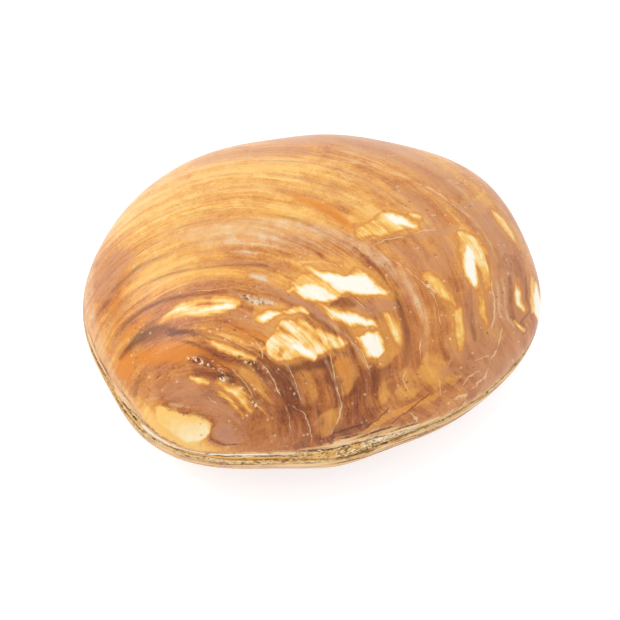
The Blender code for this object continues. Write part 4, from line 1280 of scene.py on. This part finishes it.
upperValve = buildValve("upperValve", upperLook)
lowerValve = buildValve("lowerValve", lowerLook)

# the hardened sediment between the valves; angles run round the margin
matrixLook = {
    "sectors": 1200, "rows": 10, "innerRings": (0.5, 0.95),
    "inset": 0.22 * mm, "overlap": 0.04 * mm,
    "roughness": 0.16 * mm, "roughnessScale": 900.0, "seed": 3,
    "grainSize": 0.16 * mm,
    "grainDensity": 4.5,  # per square mm
    "grainStretch": ((0.5, 0.5, 0.4), (1.5, 1.2, 0.9)),  # each axis from, each axis to
    "grit": ((0, 0.2), (150, 0.3), (185, 0.6), (212, 0.5), (222, 0.05), (246, 0.1),
             (256, 0.7), (268, 1.0), (282, 0.6), (300, 0.3), (360, 0.2)),
    "markSoftness": 0.18,
    "markEdges": {"rust": (-0.3, 0.5), "chalk": (-0.3, 0.5), "crack": (-0.1, 0.4)},
    "marks": {  # as on the shell, but by angle and by layer from -1 to 1
        "chalk": (
            (1.0, ((213.0, 0.1, 0.6), (222.0, 0.4, 0.5), (236.0, 0.55, 0.35),
                   (250.0, 0.65, 0.25)), 4.0),
            (0.8, ((276.0, 0.4, 0.4), (288.0, 0.3, 0.5), (300.0, 0.2, 0.5)), 5.0),
            (0.5, ((160.0, 0.4, 0.3), (185.0, 0.4, 0.4), (200.0, 0.6, 0.3)), 6.0),
            (0.6, ((20.0, 0.3, 0.4), (70.0, 0.4, 0.3), (120.0, 0.3, 0.4)), 10.0),
        ),
        "rust": (
            (1.0, ((226.0, -0.7, 0.3), (240.0, -0.62, 0.36), (262.0, -0.78, 0.2)), 4.0),
            (0.7, ((255.0, 0.0, 0.4), (268.0, 0.1, 0.5)), 4.0),
            (0.6, ((192.0, -0.5, 0.4), (208.0, -0.3, 0.4)), 5.0),
            (0.6, ((30.0, -0.5, 0.4), (90.0, -0.4, 0.4)), 10.0),
        ),
        "crack": (
            (1.3, ((231.0, -0.05, 0.10), (240.0, -0.10, 0.14), (253.0, -0.10, 0.12)), 2.0),
            (1.3, ((250.0, 0.80, 0.10), (258.0, 0.74, 0.18), (267.0, 0.62, 0.12)), 2.0),
            (1.0, ((259.0, 0.90, 0.12), (266.0, 0.84, 0.22), (274.0, 0.74, 0.14)), 2.0),
            (1.0, ((202.0, 0.10, 0.20), (207.0, 0.00, 0.30)), 2.0),
            (0.9, ((284.0, 0.10, 0.10), (300.0, 0.00, 0.20), (340.0, 0.00, 0.30)), 3.0),
            (0.8, ((155.0, 0.00, 0.30), (188.0, -0.10, 0.25)), 6.0),
        ),
    },
    "layerScale": (200.0, 200.0, 1600.0), "lumpScale": (650.0, 650.0, 1000.0),
    "sandScale": (700.0, 700.0, 900.0), "bedRoughness": 0.8, "grainRoughness": 0.55,
    "bumpStrength": 0.7, "bumpDistance": 0.2 * mm,
}


def buildMatrixTree():
    tree, given, result = newGroup("matrixGrains", "GeometryNodeTree", [
        ("Band", "NodeSocketGeometry"), ("Roughness", "NodeSocketFloat", 0.00016),
        ("Grain Size", "NodeSocketFloat", 0.00016), ("Grain Density", "NodeSocketFloat", 4.5e6),
        ("Seed", "NodeSocketInt", 3), ("Bed", "NodeSocketMaterial"),
        ("Grains", "NodeSocketMaterial")], [("Matrix", "NodeSocketGeometry")])
    spot = addNode(tree, "GeometryNodeInputPosition").outputs[0]
    lumps = cloudNoise(tree, spot, matrixLook["roughnessScale"], 3.0, 0.65)
    lift = times(tree, minus(tree, lumps, 0.5), times(tree, given["Roughness"], 3.0),
                 named(tree, "wall"))
    raised = alongNormal(tree, given["Band"], lift)
    density = times(tree, given["Grain Density"],
                    times(tree, named(tree, "grit"), named(tree, "wall")))
    points = addNode(tree, "GeometryNodeDistributePointsOnFaces", {
        "Mesh": raised, "Density": density, "Seed": given["Seed"]})

    def chance(low, high, kind="FLOAT"):
        made = addNode(tree, "FunctionNodeRandomValue", {"Seed": given["Seed"]}, data_type=kind)
        first = 0 if kind == "FLOAT_VECTOR" else 2
        made.inputs[first].default_value = low
        made.inputs[first + 1].default_value = high
        return made.outputs[0 if kind == "FLOAT_VECTOR" else 1]

    shade = stored(tree, points.outputs["Points"], "shade", chance(0.0, 1.0))
    grain = addNode(tree, "GeometryNodeMeshIcoSphere", {"Radius": given["Grain Size"],
                                                        "Subdivisions": 1}).outputs[0]
    scattered = addNode(tree, "GeometryNodeInstanceOnPoints", {
        "Points": shade, "Instance": grain,
        "Rotation": chance((0, 0, 0), (math.tau, math.tau, math.tau), "FLOAT_VECTOR"),
        "Scale": chance(*matrixLook["grainStretch"], "FLOAT_VECTOR")}).outputs[0]
    grains = addNode(tree, "GeometryNodeSetMaterial", {"Geometry": scattered,
                                                       "Material": given["Grains"]}).outputs[0]
    both = addNode(tree, "GeometryNodeJoinGeometry")
    tree.links.new(grains, both.inputs[0])
    tree.links.new(raised, both.inputs[0])
    real = addNode(tree, "GeometryNodeRealizeInstances", {0: both.outputs[0]}).outputs[0]
    bed = addNode(tree, "GeometryNodeSetMaterial", {
        "Geometry": real, "Selection": named(tree, "bed", "BOOLEAN"), "Material": given["Bed"]})
    tree.links.new(bed.outputs[0], result["Matrix"])
    return tree


def matrixBlank(name):  # a closed band: the rough wall, and two smooth faces inside the valves
    sectors = matrixLook["sectors"]
    angles = np.linspace(0, 2 * np.pi, sectors, endpoint=False)
    margin = marginOutline(angles)
    wall = margin - margin / np.linalg.norm(margin, axis=1)[:, None] * matrixLook["inset"]
    half = bedHalfHeight(angles) + matrixLook["overlap"]
    inner = matrixLook["innerRings"]
    rings = [(size, -1.0) for size in inner]
    rings += [(1.0, layer) for layer in np.linspace(-1, 1, matrixLook["rows"] + 1)]
    rings += [(size, 1.0) for size in reversed(inner)]
    spots = [np.column_stack([wall * size, seamHeight + half * layer]) for size, layer in rings]
    middles = [[0, 0, seamHeight - half.mean()], [0, 0, seamHeight + half.mean()]]
    place = np.concatenate(spots + [np.array(middles)])
    faces = []
    for ring in range(len(rings) - 1):
        band = ringFaces(ring * sectors, (ring + 1) * sectors, sectors)
        faces += band[:, [0, 3, 2, 1]].tolist()
    faces += fanFaces(len(place) - 2, 0, sectors)[:, [0, 2, 1]].tolist()
    faces += fanFaces(len(place) - 1, (len(rings) - 1) * sectors, sectors).tolist()
    mesh = bpy.data.meshes.new(name)
    mesh.from_pydata(place.tolist(), [], faces)
    bearing = np.append(np.tile(np.degrees(angles), len(rings)), [0, 0])
    layer = np.append(np.repeat([value for _, value in rings], sectors), [-1, 1])
    outer = np.append(np.repeat([float(size == 1.0 and abs(value) < 1.0)
                                 for size, value in rings], sectors), [0, 0])
    writeAttribute(mesh, "wall", outer)
    writeAttribute(mesh, "grit", np.interp(bearing, *np.array(matrixLook["grit"]).T))
    mesh.attributes.new("bed", "BOOLEAN", "FACE").data.foreach_set(
        "value", [True] * len(mesh.polygons))
    for channel, marks in matrixLook["marks"].items():
        field = markField(marks, matrixLook["markSoftness"], bearing, layer)
        writeAttribute(mesh, channel, field)
    mesh.shade_smooth()
    return mesh


def bedMaterial():
    material, tree, shader = newMaterial("matrixBed", {"Roughness": matrixLook["bedRoughness"]})
    place = addNode(tree, "ShaderNodeTexCoord").outputs["Object"]
    layers = layerNoise(tree, place, matrixLook["layerScale"], 3.0)
    lumps = layerNoise(tree, place, matrixLook["lumpScale"], 4.0)
    colour = mixColours(tree, between(tree, layers, 0.40, 0.62), srgb(*bedColours["base"]),
                        srgb(*bedColours["olive"]))
    for channel, (low, high) in matrixLook["markEdges"].items():
        field = addNode(tree, "ShaderNodeAttribute", attribute_name=channel).outputs["Fac"]
        field = plus(tree, field, (minus(tree, lumps, 0.5), 2.4), (minus(tree, layers, 0.5), 1.5))
        colour = mixColours(tree, between(tree, field, low, high), colour,
                            srgb(*bedColours[channel]))
    colour = mixColours(tree, times(tree, between(tree, lumps, 0.40, 0.30), 0.75), colour,
                        srgb(*bedColours["crack"]))
    grit = addNode(tree, "ShaderNodeAttribute", attribute_name="grit").outputs["Fac"]
    sandy = plus(tree, minus(tree, grit, 1.6),
                 (layerNoise(tree, place, matrixLook["sandScale"], 2.0), 2.0))
    grains = addNode(tree, "ShaderNodeGroup", node_tree=sandTree)
    colour = mixColours(tree, times(tree, between(tree, sandy, -0.1, 0.3), 0.7), colour,
                        grains.outputs["Colour"])
    tree.links.new(colour, shader.inputs["Base Color"])
    addBump(tree, shader, lumps, matrixLook["bumpStrength"], matrixLook["bumpDistance"])
    return material


def grainMaterial():
    material, tree, shader = newMaterial("matrixGrains",
                                         {"Roughness": matrixLook["grainRoughness"]})
    shade = addNode(tree, "ShaderNodeAttribute", attribute_name="shade").outputs["Fac"]
    tree.links.new(ramp(tree, shade, bedColours["grains"]), shader.inputs["Base Color"])
    return material


seamMatrix = grownMesh("seamMatrix", matrixBlank("seamMatrix"), buildMatrixTree(), {
    "Roughness": matrixLook["roughness"], "Grain Size": matrixLook["grainSize"],
    "Grain Density": matrixLook["grainDensity"] / mm ** 2, "Seed": matrixLook["seed"],
    "Bed": bedMaterial(), "Grains": grainMaterial()})
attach(seamMatrix, "root")
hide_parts("seam_matrix")
print("seamMatrix ready with", len(seamMatrix.data.polygons), "faces")

# floor and light
stageLook = {
    "floorSize": 6.0, "floorColour": (0.56, 0.565, 0.57, 1.0), "floorRoughness": 0.9,
    "floorGlow": 0.61, "glowColour": (0.96, 1.0, 1.02, 1.0),
    "skyColour": (1.0, 1.0, 1.0, 1.0), "skyStrength": 1.10,
    "softboxPlace": (-0.7, 0.5, 0.9), "softboxSize": 0.6, "softboxPower": 5.0,
}


def addObject(name, data):
    made = bpy.data.objects.new(name, data)
    bpy.context.collection.objects.link(made)
    return made


def buildStage():
    half = stageLook["floorSize"] / 2
    mesh = bpy.data.meshes.new("floor")
    mesh.from_pydata([(-half, -half, 0), (half, -half, 0), (half, half, 0), (-half, half, 0)],
                     [], [(0, 1, 2, 3)])
    paint, _, _ = newMaterial("floorPaint", {
        "Base Color": stageLook["floorColour"], "Roughness": stageLook["floorRoughness"],
        "Emission Color": stageLook["glowColour"], "Emission Strength": stageLook["floorGlow"]})
    mesh.materials.append(paint)
    addObject("floor", mesh)
    world = bpy.data.worlds.new("studio")
    world.use_nodes = True
    sky = world.node_tree.nodes["Background"].inputs
    sky["Color"].default_value = stageLook["skyColour"]
    sky["Strength"].default_value = stageLook["skyStrength"]
    bpy.context.scene.world = world
    light = bpy.data.lights.new("softboxLeft", "AREA")
    light.size = stageLook["softboxSize"]
    light.energy = stageLook["softboxPower"]
    lamp = addObject("softboxLeft", light)
    lamp.location = stageLook["softboxPlace"]
    lamp.rotation_euler = Vector(lamp.location).to_track_quat("Z", "Y").to_euler()
    bpy.context.scene.view_settings.view_transform = "Standard"


# the camera: angles in degrees, distance in metres, places in the frame in pixels
cameraLook = {
    "azimuth": -20.0, "elevation": 56.15, "roll": 6.56, "distance": 0.6, "sensor": 36.0,
    "frameWidth": 620, "pixelsPerMm": 5.7, "seamAt": (310.5, 294.4),
}


def buildCamera():
    azimuth = math.radians(cameraLook["azimuth"])
    elevation = math.radians(cameraLook["elevation"])
    roll = math.radians(cameraLook["roll"])
    back = Vector((math.sin(azimuth) * math.cos(elevation),
                   -math.cos(azimuth) * math.cos(elevation), math.sin(elevation)))
    level = Vector((math.cos(azimuth), math.sin(azimuth), 0.0))
    upright = back.cross(level)
    right = level * math.cos(roll) + upright * math.sin(roll)
    up = upright * math.cos(roll) - level * math.sin(roll)
    scale = cameraLook["pixelsPerMm"] / mm
    middle = cameraLook["frameWidth"] / 2
    across, down = cameraLook["seamAt"]  # where the middle of the seam's plane stands
    aim = Vector((0.0, 0.0, seamHeight)) - right * (across - middle) / scale
    aim += up * (down - middle) / scale
    data = bpy.data.cameras.new("camera")
    data.sensor_width = cameraLook["sensor"]
    data.lens = cameraLook["sensor"] * scale * cameraLook["distance"] / cameraLook["frameWidth"]
    camera = addObject("camera", data)
    turned = Matrix((right, up, back)).transposed().to_4x4()
    camera.matrix_world = Matrix.Translation(aim + back * cameraLook["distance"]) @ turned
    bpy.context.scene.camera = camera


buildStage()
buildCamera()
print("stage and camera ready")
